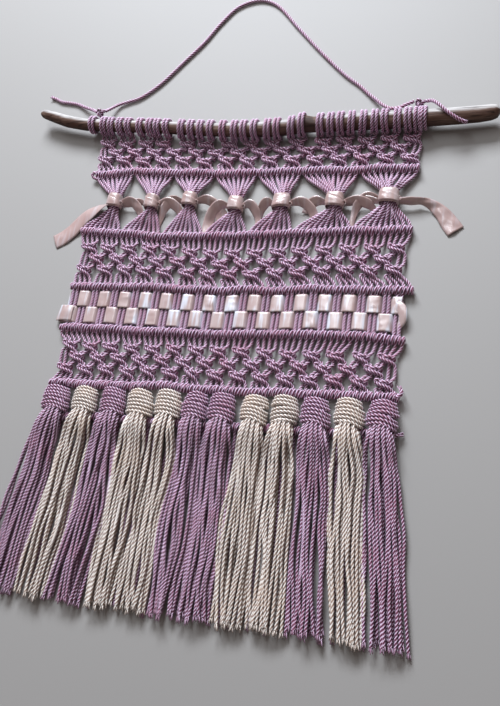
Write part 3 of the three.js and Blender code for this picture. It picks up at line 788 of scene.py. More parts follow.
@dataclass
class DriftwoodRod:
    """The branch that carries the panel, from its thin bent end to its thick round one."""

    axis_z: float = 10.6
    sides: int = 36
    step: float = 1.9
    knot_x: float = 53.0
    table: tuple[tuple[float, float, float, float], ...] = (
        # x, y, rise above the axis height, radius
        (-217.4, 179, 1.2, 1.9),
        (-216.4, 179, 1.1, 3.4),
        (-213.5, 178.6, 1, 4.5),
        (-204, 175.6, 0.6, 5.4),
        (-188, 170, 0.2, 5.9),
        (-166, 165.2, 0, 5.7),
        (-131, 162, 0, 5.5),
        (-90, 159, 0, 5.5),
        (-48, 154.8, 0, 5.9),
        (-10, 152, 0, 6.5),
        (20, 152.3, 0, 6.7),
        (38, 153.6, 0, 6.8),
        (47, 156, 0.3, 7.6),
        (56, 155, 0, 6.7),
        (79, 155.7, 0, 7.1),
        (113, 156.2, 0, 7.2),
        (154, 157.2, 0, 7.2),
        (180, 158, 0, 7.0),
        (194, 158.8, 0, 6.8),
        (203, 159.8, 0, 6.5),
        (207, 160.4, 0, 5.7),
        (209, 160.6, 0, 4.5),
        (209.8, 160.7, 0, 3.4),
        (210, 160.7, 0, 2.2),
    )

    def section(self, x: float) -> tuple[float, float, float]:
        """Gives the rod's centre and size at a place.

        Args:
            x: The place along the rod.

        Returns:
            The centre's y and z, and the radius.
        """
        xs, ys, rises, radii = zip(*self.table)
        return (
            float(np.interp(x, xs, ys)),
            self.axis_z + float(np.interp(x, xs, rises)),
            float(np.interp(x, xs, radii)),
        )

    def around(self, x: float, angle: float, clear: float) -> Point:
        """Gives a point near the rod's surface.

        Args:
            x: The place along the rod.
            angle: Degrees from the front, through the top at 90 and the back at 180.
            clear: Distance outside the surface.

        Returns:
            The point.
        """
        y, z, radius = self.section(x)
        turn = math.radians(angle)
        reach = radius + clear
        return (x, y - reach * math.cos(turn), z + reach * math.sin(turn))

    def build(self) -> bpy.types.Object:
        """Builds the rod, with its grain, dents, knot, and the share of painted light and shade at each
        corner.

        Returns:
            The rod's object.
        """
        first, last = self.table[0][0], self.table[-1][0]
        stops = list(np.arange(first, last, self.step)) + [last]
        shell = bmesh.new()
        start_y, start_z, start_radius = self.section(first)
        bmesh.ops.create_circle(
            shell,
            cap_ends=True,
            segments=self.sides,
            radius=start_radius,
            matrix=Matrix.Translation((first, start_y, start_z)) @ Matrix.Rotation(-math.pi / 2, 4, "Y"),
        )
        rim = list(shell.edges)
        here = Vector((first, start_y, start_z))
        radius = start_radius
        for x in stops[1:]:
            y, z, next_radius = self.section(x)
            grown = bmesh.ops.extrude_edge_only(shell, edges=rim)["geom"]
            rim = [g for g in grown if isinstance(g, bmesh.types.BMEdge)]
            corners = [g for g in grown if isinstance(g, bmesh.types.BMVert)]
            there = Vector((x, y, z))
            for corner in corners:
                corner.co = there + (corner.co - here) * (next_radius / radius)
            here, radius = there, next_radius
        bmesh.ops.contextual_create(shell, geom=rim)
        for corner in shell.verts:
            self.weather(corner)
        bmesh.ops.recalc_face_normals(shell, faces=shell.faces)
        # each corner's share of painted light: pale on the upper side, painted shade underneath
        lit_top = shell.verts.layers.float.new("weather")
        for corner in shell.verts:
            corner[lit_top] = self.painted_light_share(corner)
        bmesh.ops.scale(shell, vec=(MM, MM, MM), verts=shell.verts)
        mesh = bpy.data.meshes.new("driftwood_rod")
        shell.to_mesh(mesh)
        shell.free()
        return settle_piece("driftwood_rod", mesh, DRIFTWOOD, ["rod"])

    def painted_light_share(self, corner: bmesh.types.BMVert) -> float:
        """Tells how much painted light a corner takes: 1 on the upper side, which faces the lamp, 0
        underneath, where shade is painted, and less at the knot.
        """
        x, y, z = corner.co
        centre_y, centre_z, radius = self.section(x)
        facing = (0.86 * (y - centre_y) + 0.5 * (z - centre_z)) / radius
        knot = math.exp(-(((x - self.knot_x) / 5.5) ** 2)) * max(0.0, 0.5 + (z - centre_z) / radius)
        return 0.5 + 0.5 * facing - 0.75 * knot

    def weather(self, corner: bmesh.types.BMVert) -> None:
        """Moves one corner in by the wood's dents and grooves, and never out past its full size.

        Args:
            corner: The corner to move, in millimetres.
        """
        x, y, z = corner.co
        centre_y, centre_z, radius = self.section(x)
        out = Vector((0, y - centre_y, z - centre_z))
        if out.length == 0:
            return
        around = math.atan2(out.z, out.y)
        dents = noise.noise(Vector((x / 30, 1.3 * math.cos(around), 1.3 * math.sin(around))))
        grooves = noise.noise(Vector((x / 45, 5 * math.cos(around), 5 * math.sin(around))))
        share = 0.5 * dents + 0.35 * grooves - 0.12
        corner.co += out.normalized() * min(0.0, share) * radius * 0.16


ROD = DriftwoodRod()


# ---------------------------------------------------------------- knotted bands


class Role(Enum):
    """What each of a square knot's four cords does, from left to right."""

    LEFT = 0
    LEFT_FILLER = 1
    RIGHT_FILLER = 2
    RIGHT = 3


# Each cord's route through a square knot, from above to below, about the knot's centre.
KNOT_ROUTES: dict[Role, tuple[Point, ...]] = {
    Role.LEFT: (
        (-4.9, 3.8, 2.7),
        (-4.4, 2.2, 3.1),
        (-2.9, 1.3, 4.5),
        (-0.6, 1.4, 5.7),
        (1.9, 1.6, 5.5),
        (3.7, 1.2, 4.0),
        (4.5, -0.2, 2.5),
        (2.2, -1.2, 1.6),
        (-1.2, -1.7, 1.6),
        (-3.7, -2.4, 2.2),
        (-4.8, -3.9, 2.7),
    ),
    Role.LEFT_FILLER: ((-1.7, 4.2, 2.8), (-1.5, 1.6, 3.4), (-1.5, -1.6, 3.4), (-1.8, -4.2, 2.8)),
    Role.RIGHT_FILLER: ((1.8, 4.2, 2.8), (1.5, 1.6, 3.4), (1.5, -1.6, 3.4), (1.7, -4.2, 2.8)),
    Role.RIGHT: (
        (5.6, 4.3, 3.4),
        (4.6, 2.7, 4.8),
        (3.9, 0.9, 5.1),
        (3.0, 0.0, 3.2),
        (0.9, 0.4, 1.6),
        (-1.6, 1.2, 1.8),
        (-2.9, 2.4, 3.9),
        (-4.0, 2.9, 5.9),
        (-5.0, 1.7, 5.4),
        (-4.1, 0.3, 5.6),
        (-1.8, -0.8, 6.1),
        (1.0, -1.8, 6.0),
        (3.4, -2.7, 4.8),
        (5.0, -4.1, 3.1),
    ),
}


# Each lark's head's place along the rod. They gather in uneven groups, with bare wood between.
HEADS = (
    *(-146.5, -139, -129, -120, -108, -98, -91, -81, -67, -57.3, -48, -37.8, -26, -15.2, -6.2),
    *(4, 15, 24.2, 36.6, 45.8, 62.4, 71.2, 80, 88.9, 98.7, 109, 118, 128, 137, 144.8),
)
# How far each pair of heads sits to the right of the knot below it.
HEAD_PULL = (0, -2, -1, -4, 0, -1.5, 1, 0, 0.5, 2, 7, 5, 4, 3, 1)


@dataclass
class KnottedBand:
    """Three lines of alternating square knots between two bars, or between the rod and a bar."""

    name: str
    first: float
    last: float
    lines: tuple[tuple[float, float, float], ...]  # y of each line at the left, the middle and the right
    above: Optional[Bar]
    below: Bar
    columns: int = 15
    cords_a_knot: int = 4
    swell: float = 1.3
    stretch: float = 1.18
    thickness: float = 0.9  # a net's cords are drawn a little thinner than the others
    pull_shares: tuple[float, ...] = (0.8, 0.4, 0.15)  # how much of the heads' pull reaches each line
    centres: dict[tuple[int, int], tuple[float, float, float]] = field(default_factory=dict)

    def place_knots(self, work: CordWork) -> None:
        """Sets each knot's centre and its slight turn, by line and column.

        Args:
            work: The cord work, for its random draws.
        """
        pitch = (self.last - self.first) / (self.columns - 1)
        for line, heights in enumerate(self.lines):
            odd = line % 2
            for column in range(self.columns - odd):
                x = self.first + pitch * (column + 0.5 * odd)
                y = float(np.interp(x, (self.first, 0, self.last), heights))
                if not self.above:
                    pulled = np.interp(column + 0.5 * odd, range(self.columns), HEAD_PULL)
                    x += float(pulled) * self.pull_shares[line]
                x += work.random.gauss(0, 0.35)
                y += work.random.gauss(0, 0.4)
                self.centres[line, column] = (x, y, math.radians(work.random.gauss(0, 5)))

    def through_knot(self, line: int, column: int, role: Role) -> Iterator[Point]:
        """Gives a cord's points through one knot, from above to below.

        Args:
            line: The knot's line, counted from 0 at the top.
            column: Its place in the line, counted from 0 at the left.
            role: What the cord does in it.

        Returns:
            The points, one by one.
        """
        x, y, turn = self.centres[line, column]
        for across, down, z in KNOT_ROUTES[role]:
            wide, along = across * self.swell, down * self.stretch
            yield (
                x + wide * math.cos(turn) - along * math.sin(turn),
                y + along * math.cos(turn) + wide * math.sin(turn),
                z,
            )

    def through_lines(self, number: int) -> list[Point]:
        """Gives a cord's points from its first knot down to the bar below.

        Args:
            number: The cord's number, counted from 0 at the left.

        Returns:
            The points.
        """
        points: list[Point] = []
        for line in range(len(self.lines)):
            odd = line % 2
            place = number - 2 * odd
            if not 0 <= place < self.cords_a_knot * (self.columns - odd):
                continue
            column, role = divmod(place, self.cords_a_knot)
            points += self.through_knot(line, column, Role(role))
        x = self.below.cord_x(number)
        top = self.below.top(x)
        if points[-1][1] > top + 5:
            points.append((mix(points[-1][0], x, 0.8), top + 2.2, 2.8))
        points.append((x, top - 1.5, 3.6))
        return points

    def from_bar(self, number: int) -> list[Point]:
        """Gives a cord's points from the bar above to its first knot."""
        x = self.above.cord_x(number)
        foot = self.above.foot(x)
        return [(x, foot + 1.5, 3.8), (x, foot - 2, 3.0)]

    def larks_head(self, head: int, work: CordWork) -> list[Point]:
        """Gives the points of a lark's head on the rod, between its two cords' first knots.

        Args:
            head: The head's number, counted from 0 at the left.
            work: The cord work, for its random draws.

        Returns:
            The points, up over the rod on the left and down again on the right.
        """
        x = HEADS[head]
        lean = work.random.gauss(0.7, 0.6)
        sag = work.random.uniform(-4, 4)
        # angle round the rod, distance outside it and distance from the head's middle
        route = (
            (-62, 1.4, 1.5),
            (-90, 1.4, 1.6),
            (-128, 1.4, 1.7),
            (180, 1.5, 1.7),
            (135, 1.5, 1.7),
            (90, 1.5, 1.7),
            (45, 1.5, 1.7),
            (5, 1.5, 1.75),
            (-14 + sag, 1.7, 2.3),
            (-27 + sag, 2.4, 2.1),
            (-31 + sag, 3.0, 0.9),
        )
        left = [ROD.around(x - a + lean * math.sin(math.radians(t)), t, c) for t, c, a in route]
        right = [ROD.around(x + a + lean * math.sin(math.radians(t)), t, c) for t, c, a in reversed(route)]
        return left + right

    def build(self) -> bpy.types.Object:
        """Builds the band.

        Returns:
            The band's object.
        """
        work = CordWork(f"{self.name}_cords", MAUVE)
        self.place_knots(work)
        if self.above:
            for number in range(CORD_COUNT):
                work.run([*self.from_bar(number), *self.through_lines(number)], self.thickness)
        else:
            for head in range(CORD_COUNT // 2):
                left = self.through_lines(2 * head)
                right = self.through_lines(2 * head + 1)
                work.run([*reversed(left), *self.larks_head(head, work), *right], self.thickness)
        return work.make(self.name)


BANDS = (
    KnottedBand(
        "band_a",
        -142.5,
        140,
        ((146, 141, 141.5), (137.2, 132.4, 132.8), (128.6, 123.6, 123.4)),
        None,
        BARS["row_1"],
    ),
    KnottedBand(
        "band_b",
        -138,
        136,
        ((39.5, 33.5, 40), (28.5, 23.5, 30.5), (17.8, 14, 21)),
        BARS["row_2"],
        BARS["row_3"],
    ),
    KnottedBand(
        "band_c",
        -135.5,
        136.5,
        ((-54.8, -54, -53.5), (-64.8, -64.3, -63), (-74.8, -74.4, -73)),
        BARS["row_4"],
        BARS["row_5"],
    ),
)


# ---------------------------------------------------------------- bundles and warps


@dataclass(frozen=True)
class Neck:
    """The place where the ribbon draws a bundle in."""

    x: float
    y: float
    half: float  # half the width of its cords there
    sleeve: float  # half the width of the ribbon round them
    cords: int = 8
    slant: int = 1  # 1 where the ribbon's folds run down to the right, -1 where they run down to the left


NECKS = (
    Neck(-121, 84.3, 3.2, 6.5),
    Neck(-84, 83, 3.0, 6.3),
    Neck(-48, 85, 3.1, 6.4),
    Neck(-4.5, 80, 3.4, 6.7),
    Neck(36, 82, 3.9, 7.4, slant=-1),
    Neck(82, 82.6, 4.2, 7.5, cords=10),
    Neck(126.5, 85.8, 4.8, 8.2, cords=10),
)
NECK_REACH = 6.2  # how far the narrow part runs above and below a neck's middle


@dataclass
class Bundle:
    """Cords between two bars, drawn in to a neck by the ribbon."""

    number: int
    neck: Neck
    first_cord: int
    low: float = 4.2  # height of its outer cords in the neck
    rise: float = 4.2  # how much higher its middle ones lie

    def build(self) -> bpy.types.Object:
        """Builds the bundle.

        Returns:
            The bundle's object.
        """
        work = CordWork(f"bundle_{self.number}_cords", MAUVE)
        upper, lower, neck = BARS["row_1"], BARS["row_2"], self.neck
        neck_top, neck_foot = neck.y + NECK_REACH, neck.y - NECK_REACH
        for k in range(neck.cords):
            side = 2 * k / (neck.cords - 1) - 1
            stacked = (1 - side * side) * (1.0 if k % 2 else 0.5)
            x = neck.x + neck.half * side + work.random.gauss(0, 0.25)
            z = self.low + self.rise * stacked
            top_x = upper.cord_x(self.first_cord + k)
            foot_x = lower.cord_x(self.first_cord + k)
            top, foot = upper.foot(top_x), lower.top(foot_x)
            lift = work.random.uniform(0.3, 1.4)
            stray = work.random.gauss(0, 0.7)
            work.run(
                [
                    (top_x, top + 1.5, 3.8),
                    (mix(top_x, x, 0.1), top - 2.5, 3.2),
                    (mix(top_x, x, 0.62) + stray, mix(top, neck_top, 0.62), mix(3.4, z, 0.45) + lift),
                    (x, neck_top - 1, z),
                    (mix(x, neck.x, 0.1), mix(neck_top, neck_foot, 0.5), z - 0.3),
                    (x, neck_foot + 1, z),
                    (mix(foot_x, x, 0.6) - stray, mix(foot, neck_foot, 0.6), mix(3.4, z, 0.45) + lift * 0.8),
                    (mix(foot_x, x, 0.12), foot + 3, 3.4),
                    (foot_x, foot - 1.5, 3.8),
                ]
            )
        return work.make(f"bundle_{self.number}")


def bundles() -> Iterator[Bundle]:
    """Gives the seven bundles from left to right."""
    first = 0
    for k, neck in enumerate(NECKS):
        yield Bundle(k + 1, neck, first)
        first += neck.cords


@dataclass
class WarpCords:
    """Thirty pairs of cords from the third bar to the fourth, which the ribbon is woven through."""

    first: float = -142
    pitch: float = 9.8
    half: float = 1.78
    pairs: int = 30
    z: float = 3.1

    def pair_x(self, pair: float) -> float:
        """Gives the middle of a pair."""
        return self.first + self.pitch * pair

    def lay(self, work: CordWork) -> None:
        """Lays the warp cords into the fourth bar's cord work.

        Args:
            work: The bar's cord work.
        """
        upper, lower = BARS["row_3"], BARS["row_4"]
        for pair in range(self.pairs):
            for side in (-1, 1):
                x = self.pair_x(pair) + side * self.half
                top, foot = upper.foot(x), lower.top(x)
                bow = work.random.gauss(0, 0.25)
                work.run(
                    [
                        (x, top + 1.5, 3.6),
                        (x + bow, mix(top, foot, 0.3), self.z),
                        (x - bow, mix(top, foot, 0.7), self.z),
                        (x, foot - 1.5, 3.6),
                    ]
                )


WARPS = WarpCords()


# ---------------------------------------------------------------- ribbons


@dataclass(frozen=True)
class RibbonStop:
    """A place along a ribbon's middle line, and how far the ribbon leans there."""

    x: float
    y: float
    z: float
    lean: float  # degrees: 0 is flat, 90 on edge, 180 turned over
    width: float = RIBBON_WIDTH


class SatinWork:
    """Lays lengths of satin ribbon into one thin sheet."""

    def __init__(self, name: str, gleam: float) -> None:
        """Starts the piece.

        Args:
            name: The piece's name, which also seeds its random draws.
            gleam: How strongly its painted highlight streaks show, from 0 to 1; where it is low, the darker
                colour paints shade.
        """
        self.name = name
        self.gleam = gleam
        self.shell = bmesh.new()
        self.random = random.Random(name)

    def grid(self, rows: np.ndarray) -> None:
        """Adds a strip from rows of points across it.

        Args:
            rows: Points in millimetres: strip rows by points across by three.
        """
        count, across = rows.shape[0], rows.shape[1]
        made = bmesh.ops.create_grid(self.shell, x_segments=count - 1, y_segments=across - 1, size=0.5)
        for corner in made["verts"]:
            i = round((corner.co.x + 0.5) * (count - 1))
            j = round((corner.co.y + 0.5) * (across - 1))
            corner.co = Vector(rows[i, j])

    def strip(
        self, stops: Sequence[RibbonStop], camber: float = 0.5, ripple: float = 0.25, across: int = 8
    ) -> None:
        """Lays a strip along its middle line.

        Args:
            stops: Places along the middle line.
            camber: Height of the soft arch across it.
            ripple: Size of its uneven folds.
            across: Faces across it.
        """
        path = smooth_path([(s.x, s.y, s.z, s.lean, s.width) for s in stops], 1.6)
        ahead = np.gradient(path[:, :2], axis=0)
        ahead /= np.linalg.norm(ahead, axis=1)[:, None]
        lean = np.radians(path[:, 3])
        side = np.column_stack([-ahead[:, 1] * np.cos(lean), ahead[:, 0] * np.cos(lean), np.sin(lean)])
        normal = np.column_stack([ahead[:, 1] * np.sin(lean), -ahead[:, 0] * np.sin(lean), np.cos(lean)])
        seed = self.random.uniform(0, 100)
        shares = np.linspace(-0.5, 0.5, across + 1)
        rows = np.empty((len(path), across + 1, 3))
        for i, place in enumerate(path):
            for j, share in enumerate(shares):
                fold = noise.noise(Vector((seed + i * 0.22, share * 2.2, 0))) * ripple
                lift = camber * (1 - 4 * share * share) + fold
                rows[i, j] = place[:3] + side[i] * share * place[4] + normal[i] * lift
        self.rest_on_floor(rows)
        self.grid(rows)

    @staticmethod
    def rest_on_floor(rows: np.ndarray) -> None:
        """Keeps every point of a strip just above the surface that the hanging lies on."""
        rows[..., 2] = np.maximum(rows[..., 2], 0.3)

    def make(self, node: str, rests_on: Sequence[str], held: str) -> bpy.types.Object:
        """Gives the sheet its thickness and makes the piece.

        Args:
            node: The solid that it stands for.
            rests_on: Pieces that it lies on; not used.
            held: How it is held, in the frame's own word; not used.

        Returns:
            The ribbon's object.
        """
        area = sum(face.calc_area() for face in self.shell.faces)
        bmesh.ops.solidify(self.shell, geom=self.shell.faces[:], thickness=RIBBON_THICKNESS)
        bmesh.ops.recalc_face_normals(self.shell, faces=self.shell.faces)
        bmesh.ops.scale(self.shell, vec=(MM, MM, MM), verts=self.shell.verts)
        mesh = bpy.data.meshes.new(self.name)
        self.shell.to_mesh(mesh)
        self.shell.free()
        # how strongly the painted highlight streaks show; where it is low, the colour takes painted shade
        gleam = mesh.attributes.new("gleam", "FLOAT", "POINT")
        gleam.data.foreach_set("value", [self.gleam] * len(mesh.vertices))
        piece = settle_piece(self.name, mesh, SATIN, [node])
        return piece


def ribbon_stops(rows: Sequence[Sequence[float]]) -> list[RibbonStop]:
    """Reads the columns x, y, z, lean and, where it isn't the full one, width."""
    return [RibbonStop(*row) for row in rows]


# The tying ribbon's tails: x, y, z, lean and, where it isn't the full one, width.
LEFT_TAIL = (
    (-125, 81, 8.5, 50, 9),
    (-131, 79.5, 7, 40, 11),
    (-140, 76.5, 4.5, 22),
    (-150, 70, 3, 10),
    (-160, 58.5, 1.4, 5),
    (-169, 50, 1.0, 0),
    (-176.5, 46, 0.8, 0),
)
RIGHT_TAIL = (
    (134, 82, 6, 60, 6),
    (144, 82, 6, 62, 8),
    (154, 82, 5, 50, 7),
    (162, 79, 3, 25, 9),
    (170, 72, 2, 8, 12),
    (176, 64, 1, 3),
    (181, 57, 1, 0),
)


@dataclass(frozen=True)
class Collar:
    """One turn of the tying ribbon round a bundle's neck."""

    neck: Neck
    low: float = 0.9
    high: float = 11.8
    half_length: float = 6.4
    roundness: float = 0.74  # 1 is an ellipse, less is boxier
    around: int = 34
    along: int = 14
    fold_depth: float = 0.7
    loop_reach: float = 1.6  # half the width of the small loop at its lower right
    loop_width: float = 3.4

    def place(self, angle: float, share: float, clear: float) -> Point:
        """Gives a point on the sleeve.

        Args:
            angle: Radians round it, from its right side over its front.
            share: Place along it, from -1 at its foot to 1 at its top.
            clear: Distance outside it.

        Returns:
            The point.
        """
        across, up = math.cos(angle), math.sin(angle)
        hug = 1 - 0.05 * share - 0.1 * abs(share) ** 3
        wide = self.neck.sleeve * hug + clear
        high = (self.high - self.low) / 2 * (1 - 0.1 * abs(share) ** 3) + clear
        return (
            self.neck.x + wide * math.copysign(abs(across) ** self.roundness, across),
            self.neck.y + self.half_length * share - 0.5 * self.neck.slant * across,
            (self.high + self.low) / 2 + high * math.copysign(abs(up) ** self.roundness, up),
        )

    def lay(self, work: SatinWork) -> None:
        """Lays the sleeve, the turn that overlaps its front, and the small loop at its lower right.

        Args:
            work: The satin work that it belongs to.
        """
        seed = work.random.uniform(0, 100)
        rows = np.empty((self.around + 1, self.along + 1, 3))
        flap = np.empty((self.around // 2 + 3, self.along // 2 + 1, 3))
        for i in range(self.around + 1):
            angle = FULL_TURN * i / self.around
            for j in range(self.along + 1):
                share = 2 * j / self.along - 1
                rows[i, j] = self.place(angle, share, self.crease(seed, angle, share))
        for i in range(len(flap)):
            angle = math.pi * i / (self.around // 2) - math.pi / self.around
            across = math.cos(angle)
            for j in range(flap.shape[1]):
                share = mix(-0.86, 0.3 - 0.5 * self.neck.slant * across, j / (flap.shape[1] - 1))
                lift = 0.5 + 0.5 * self.crease(seed + 9, angle, share)
                flap[i, j] = self.place(angle, share, lift * max(0.0, math.sin(angle)) ** 0.5 - 0.1)
        for strip in (rows, flap):
            work.rest_on_floor(strip)
            work.grid(strip)
        self.loop(work)

    def crease(self, seed: float, angle: float, share: float) -> float:
        """Gives the depth of the soft slanting folds at a place."""
        along = share * 1.15 + 0.55 * self.neck.slant * math.cos(angle)
        fold = noise.noise(Vector((seed, along * 2.0, math.sin(angle) * 0.6)))
        return self.fold_depth * fold * (0.3 + abs(math.sin(angle)))

    def loop(self, work: SatinWork) -> None:
        """Lays the small loop where the ribbon leaves the sleeve at its lower right.

        Args:
            work: The satin work that it belongs to.
        """
        middle = Vector((self.neck.x + self.neck.sleeve + 0.6, self.neck.y - 2.8, 7.6))
        stops = []
        for degrees in range(200, -101, -50):
            angle = math.radians(degrees)
            place = middle + self.loop_reach * Vector((math.cos(angle), math.sin(angle), 0))
            stops.append(RibbonStop(*place, 78, self.loop_width))
        work.strip(stops, camber=0.2, ripple=0.1, across=4)


@dataclass(frozen=True)
class Loop:
    """A loose loop of the tying ribbon, from a knot's side round to where it passes behind the cords."""

    knot: int  # counted from the left, from 0
    side: int  # 1 where it leaves to the right, -1 to the left
    reach: float  # how far out it swings
    sag: float  # how far below the knot it ends
    inward: float = 0.0  # how far it comes back towards the knot by then
    width: float = 8.0  # as much of the ribbon as shows at its foot

    def lay(self, work: SatinWork) -> None:
        """Lays the loop: on edge at the knot, and flatter all the way down.

        Args:
            work: The satin work that it belongs to.
        """
        neck, side = NECKS[self.knot], self.side
        x, y = neck.x + side * neck.sleeve, neck.y - 1
        narrow = min(self.width, 6.0)
        # distance out, y, z, lean and width
        rows = (
            (0, y, 6, 60, 5),
            (self.reach * 0.45, y + 1, 7, 42, 9),
            (self.reach * 0.85, y - self.sag * 0.2, 5, 32, narrow + 3),
            (self.reach, y - self.sag * 0.5, 2, 18, mix(narrow, self.width, 0.6)),
            (self.reach - self.inward, y - self.sag, 1, 4, self.width),
        )
        stops = [RibbonStop(x + side * out, at, z, side * lean, wide) for out, at, z, lean, wide in rows]
        work.strip(stops, ripple=0.5)


LOOPS = (
    Loop(0, 1, reach=21, sag=28, inward=6, width=6),
    Loop(1, 1, reach=22, sag=20, inward=-2, width=6),
    Loop(2, -1, reach=20, sag=29, inward=-4, width=5),
    Loop(2, 1, reach=22, sag=17, inward=-4, width=14),
    Loop(3, -1, reach=17, sag=27, width=12),
    Loop(3, 1, reach=14, sag=25, inward=2, width=6),
    Loop(4, -1, reach=11, sag=16, inward=-1, width=5),
    Loop(4, 1, reach=22, sag=24, inward=-3, width=10),
    Loop(5, -1, reach=16, sag=8, inward=-1, width=8),
    Loop(6, -1, reach=20, sag=28, inward=-2, width=5),
    Loop(5, 1, reach=25, sag=9, inward=-5, width=5),
)
STRAIGHT_GAPS = (0, 5)  # the knots with a stretch straight on to the next one


@dataclass
class TyingRibbon:
    """The ribbon that ties the bundles: a collar round each neck, and loose stretches between."""

    # weak painted highlight streaks, and mostly the darker colour as painted shade
    gleam: float = 0.25

    @staticmethod
    def lay_across(work: SatinWork, knot: int) -> None:
        """Lays a stretch from one knot straight on to the next.

        Args:
            work: The satin work that it belongs to.
            knot: The knot that it leaves, counted from the left.
        """
        left, right = NECKS[knot], NECKS[knot + 1]
        start, end = left.x + left.sleeve, right.x - right.sleeve
        level = min(left.y, right.y) - 1
        rows = (
            (start, level, 4, 60, 5),
            (mix(start, end, 0.3), level + 1, 5, 45, 7),
            (mix(start, end, 0.7), level + 2, 6, 45, 7),
            (end, level, 7, 60, 5),
        )
        work.strip(ribbon_stops(rows), ripple=0.5)

    def build(self) -> bpy.types.Object:
        """Builds the tying ribbon.

        Returns:
            The ribbon's object.
        """
        work = SatinWork("tie_ribbon_satin", self.gleam)
        for neck in NECKS:
            Collar(neck).lay(work)
        for tail in (LEFT_TAIL, RIGHT_TAIL):
            work.strip(ribbon_stops(tail), camber=0.9, ripple=0.7)
        for loop in LOOPS:
            loop.lay(work)
        for knot in STRAIGHT_GAPS:
            self.lay_across(work, knot)
        return work.make("tie_ribbon", [f"bundle_{k + 1}_cords" for k in range(len(NECKS))], "draped")


@dataclass
class WovenRibbon:
    """The ribbon woven through the warp cords, out along an upper row and back along a lower one."""

    over: float = 5.4
    under: float = 0.7
    steps_a_pair: int = 16
    across: int = 10
    sharpness: float = 2.6
    float_share: float = 0.28  # how much longer it stays up than down
    width: float = 14.9
    flat_above: float = 3.6  # it arches and creases only where it lies higher than this
    deep_crease: float = 0.55
    faint_crease: float = 0.12
    smooth_share: float = 0.72  # share of the floats whose creases are faint

    def height(self, x: float, parity: int) -> float:
        """Gives the ribbon's height, over the pairs of one parity and under the others."""
        phase = math.cos(math.pi * (x - WARPS.pair_x(parity)) / WARPS.pitch)
        share = math.tanh(self.sharpness * (phase + self.float_share))
        return mix(self.under, self.over, (share + 1) / 2)

    def row(self, work: SatinWork, side: int, parity: int, start: float, end: float) -> None:
        """Weaves one row.

        Args:
            work: The satin work that it belongs to.
            side: 1 for the upper row and -1 for the lower.
            parity: Which pairs it passes over: 0 for the even ones, 1 for the odd.
            start: Where its first stretch begins.
            end: Where its last one ends.
        """
        upper, lower = BARS["row_3"], BARS["row_4"]
        count = round((end - start) / WARPS.pitch * self.steps_a_pair)
        rows = np.empty((count + 1, self.across + 1, 3))
        creased = {pair: work.random.uniform(0, 1) for pair in range(-2, WARPS.pairs + 2)}
        for i in range(count + 1):
            x = mix(start, end, i / count)
            pair = round((x - WARPS.first) / WARPS.pitch)
            middle = (upper.foot(x) + lower.top(x)) / 2
            sway = 0.35 * noise.noise(Vector((x / 17, side * 9.0, 0)))
            z = self.height(x, parity)
            raised = max(0.0, (z - self.flat_above) / (self.over - self.flat_above))
            for j in range(self.across + 1):
                share = j / self.across
                y = middle + side * (0.15 + share * (self.width - 0.3)) + sway
                camber = 0.1 * raised * math.sin(math.pi * share)
                depth = self.deep_crease if creased[pair] > self.smooth_share else self.faint_crease
                crease = depth * raised * noise.noise(Vector((x / 9, y / 2.1, pair * 3.7)))
                rows[i, j] = (x, y, z + camber + crease)
        work.rest_on_floor(rows)
        work.grid(rows)

    def build(self) -> bpy.types.Object:
        """Builds the woven ribbon.

        Returns:
            The ribbon's object.
        """
        # full painted highlight streaks
        work = SatinWork("woven_ribbon_satin", gleam=1.0)
        first, last = WARPS.pair_x(0), WARPS.pair_x(WARPS.pairs - 1)
        self.row(work, 1, 1, first - 4.5, last + 2.5)
        self.row(work, -1, 0, first - 3, last + 3)
        left_wrap = (
            (-138.5, -25.2, 6.5, 0),
            (-144.5, -25.0, 6.6, 0),
            (-149.5, -24.8, 6.0, 3),
            (-152.6, -24.7, 4.4, 0),
            (-153.4, -24.6, 2.6, 0),
            (-151.5, -24.4, 0.9, 0),
            (-147, -24.2, 0.6, 0),
        )
        right_turn = (
            (136, -9, 3, 0, 12),
            (140, -9, 5, 0, 9),
            (144, -11, 6, 5, 8),
            (146, -16, 6, 10, 7),
            (146, -22, 5, 5, 6),
            (143, -26, 3, 0, 5),
            (139, -28, 1, 0, 6),
        )
        work.strip(ribbon_stops(left_wrap), camber=0.6, ripple=0.6, across=10)
        work.strip(ribbon_stops(right_turn), ripple=0.5)
        return work.make("woven_ribbon", ["row_4_hitches"], "stretched")


# ---------------------------------------------------------------- tassels and fringe

FRINGE_END = -259.0
HEAD_TOP = 14.6
HEAD_LAY = 7.4  # length of one full twist of a cord in the wraps
HEAD_STEP = 1.0  # length of cord between two sections of a wrap

# Height of a skirt's strands at distances below its head: at its crest, at its edges and at its rear layer.
SKIRT_SECTION = (
    (1.5, 12.4, 8.2, 8.6),
    (8, 13.2, 10.2, 10.2),
    (15, 12.6, 9.6, 9.6),
    (25, 11.0, 5.6, 7.0),
    (38, 9.6, 4.6, 5.2),
    (60, 8.4, 3.8, 4.2),
    (150, 7.2, 3.0, 3.6),
)


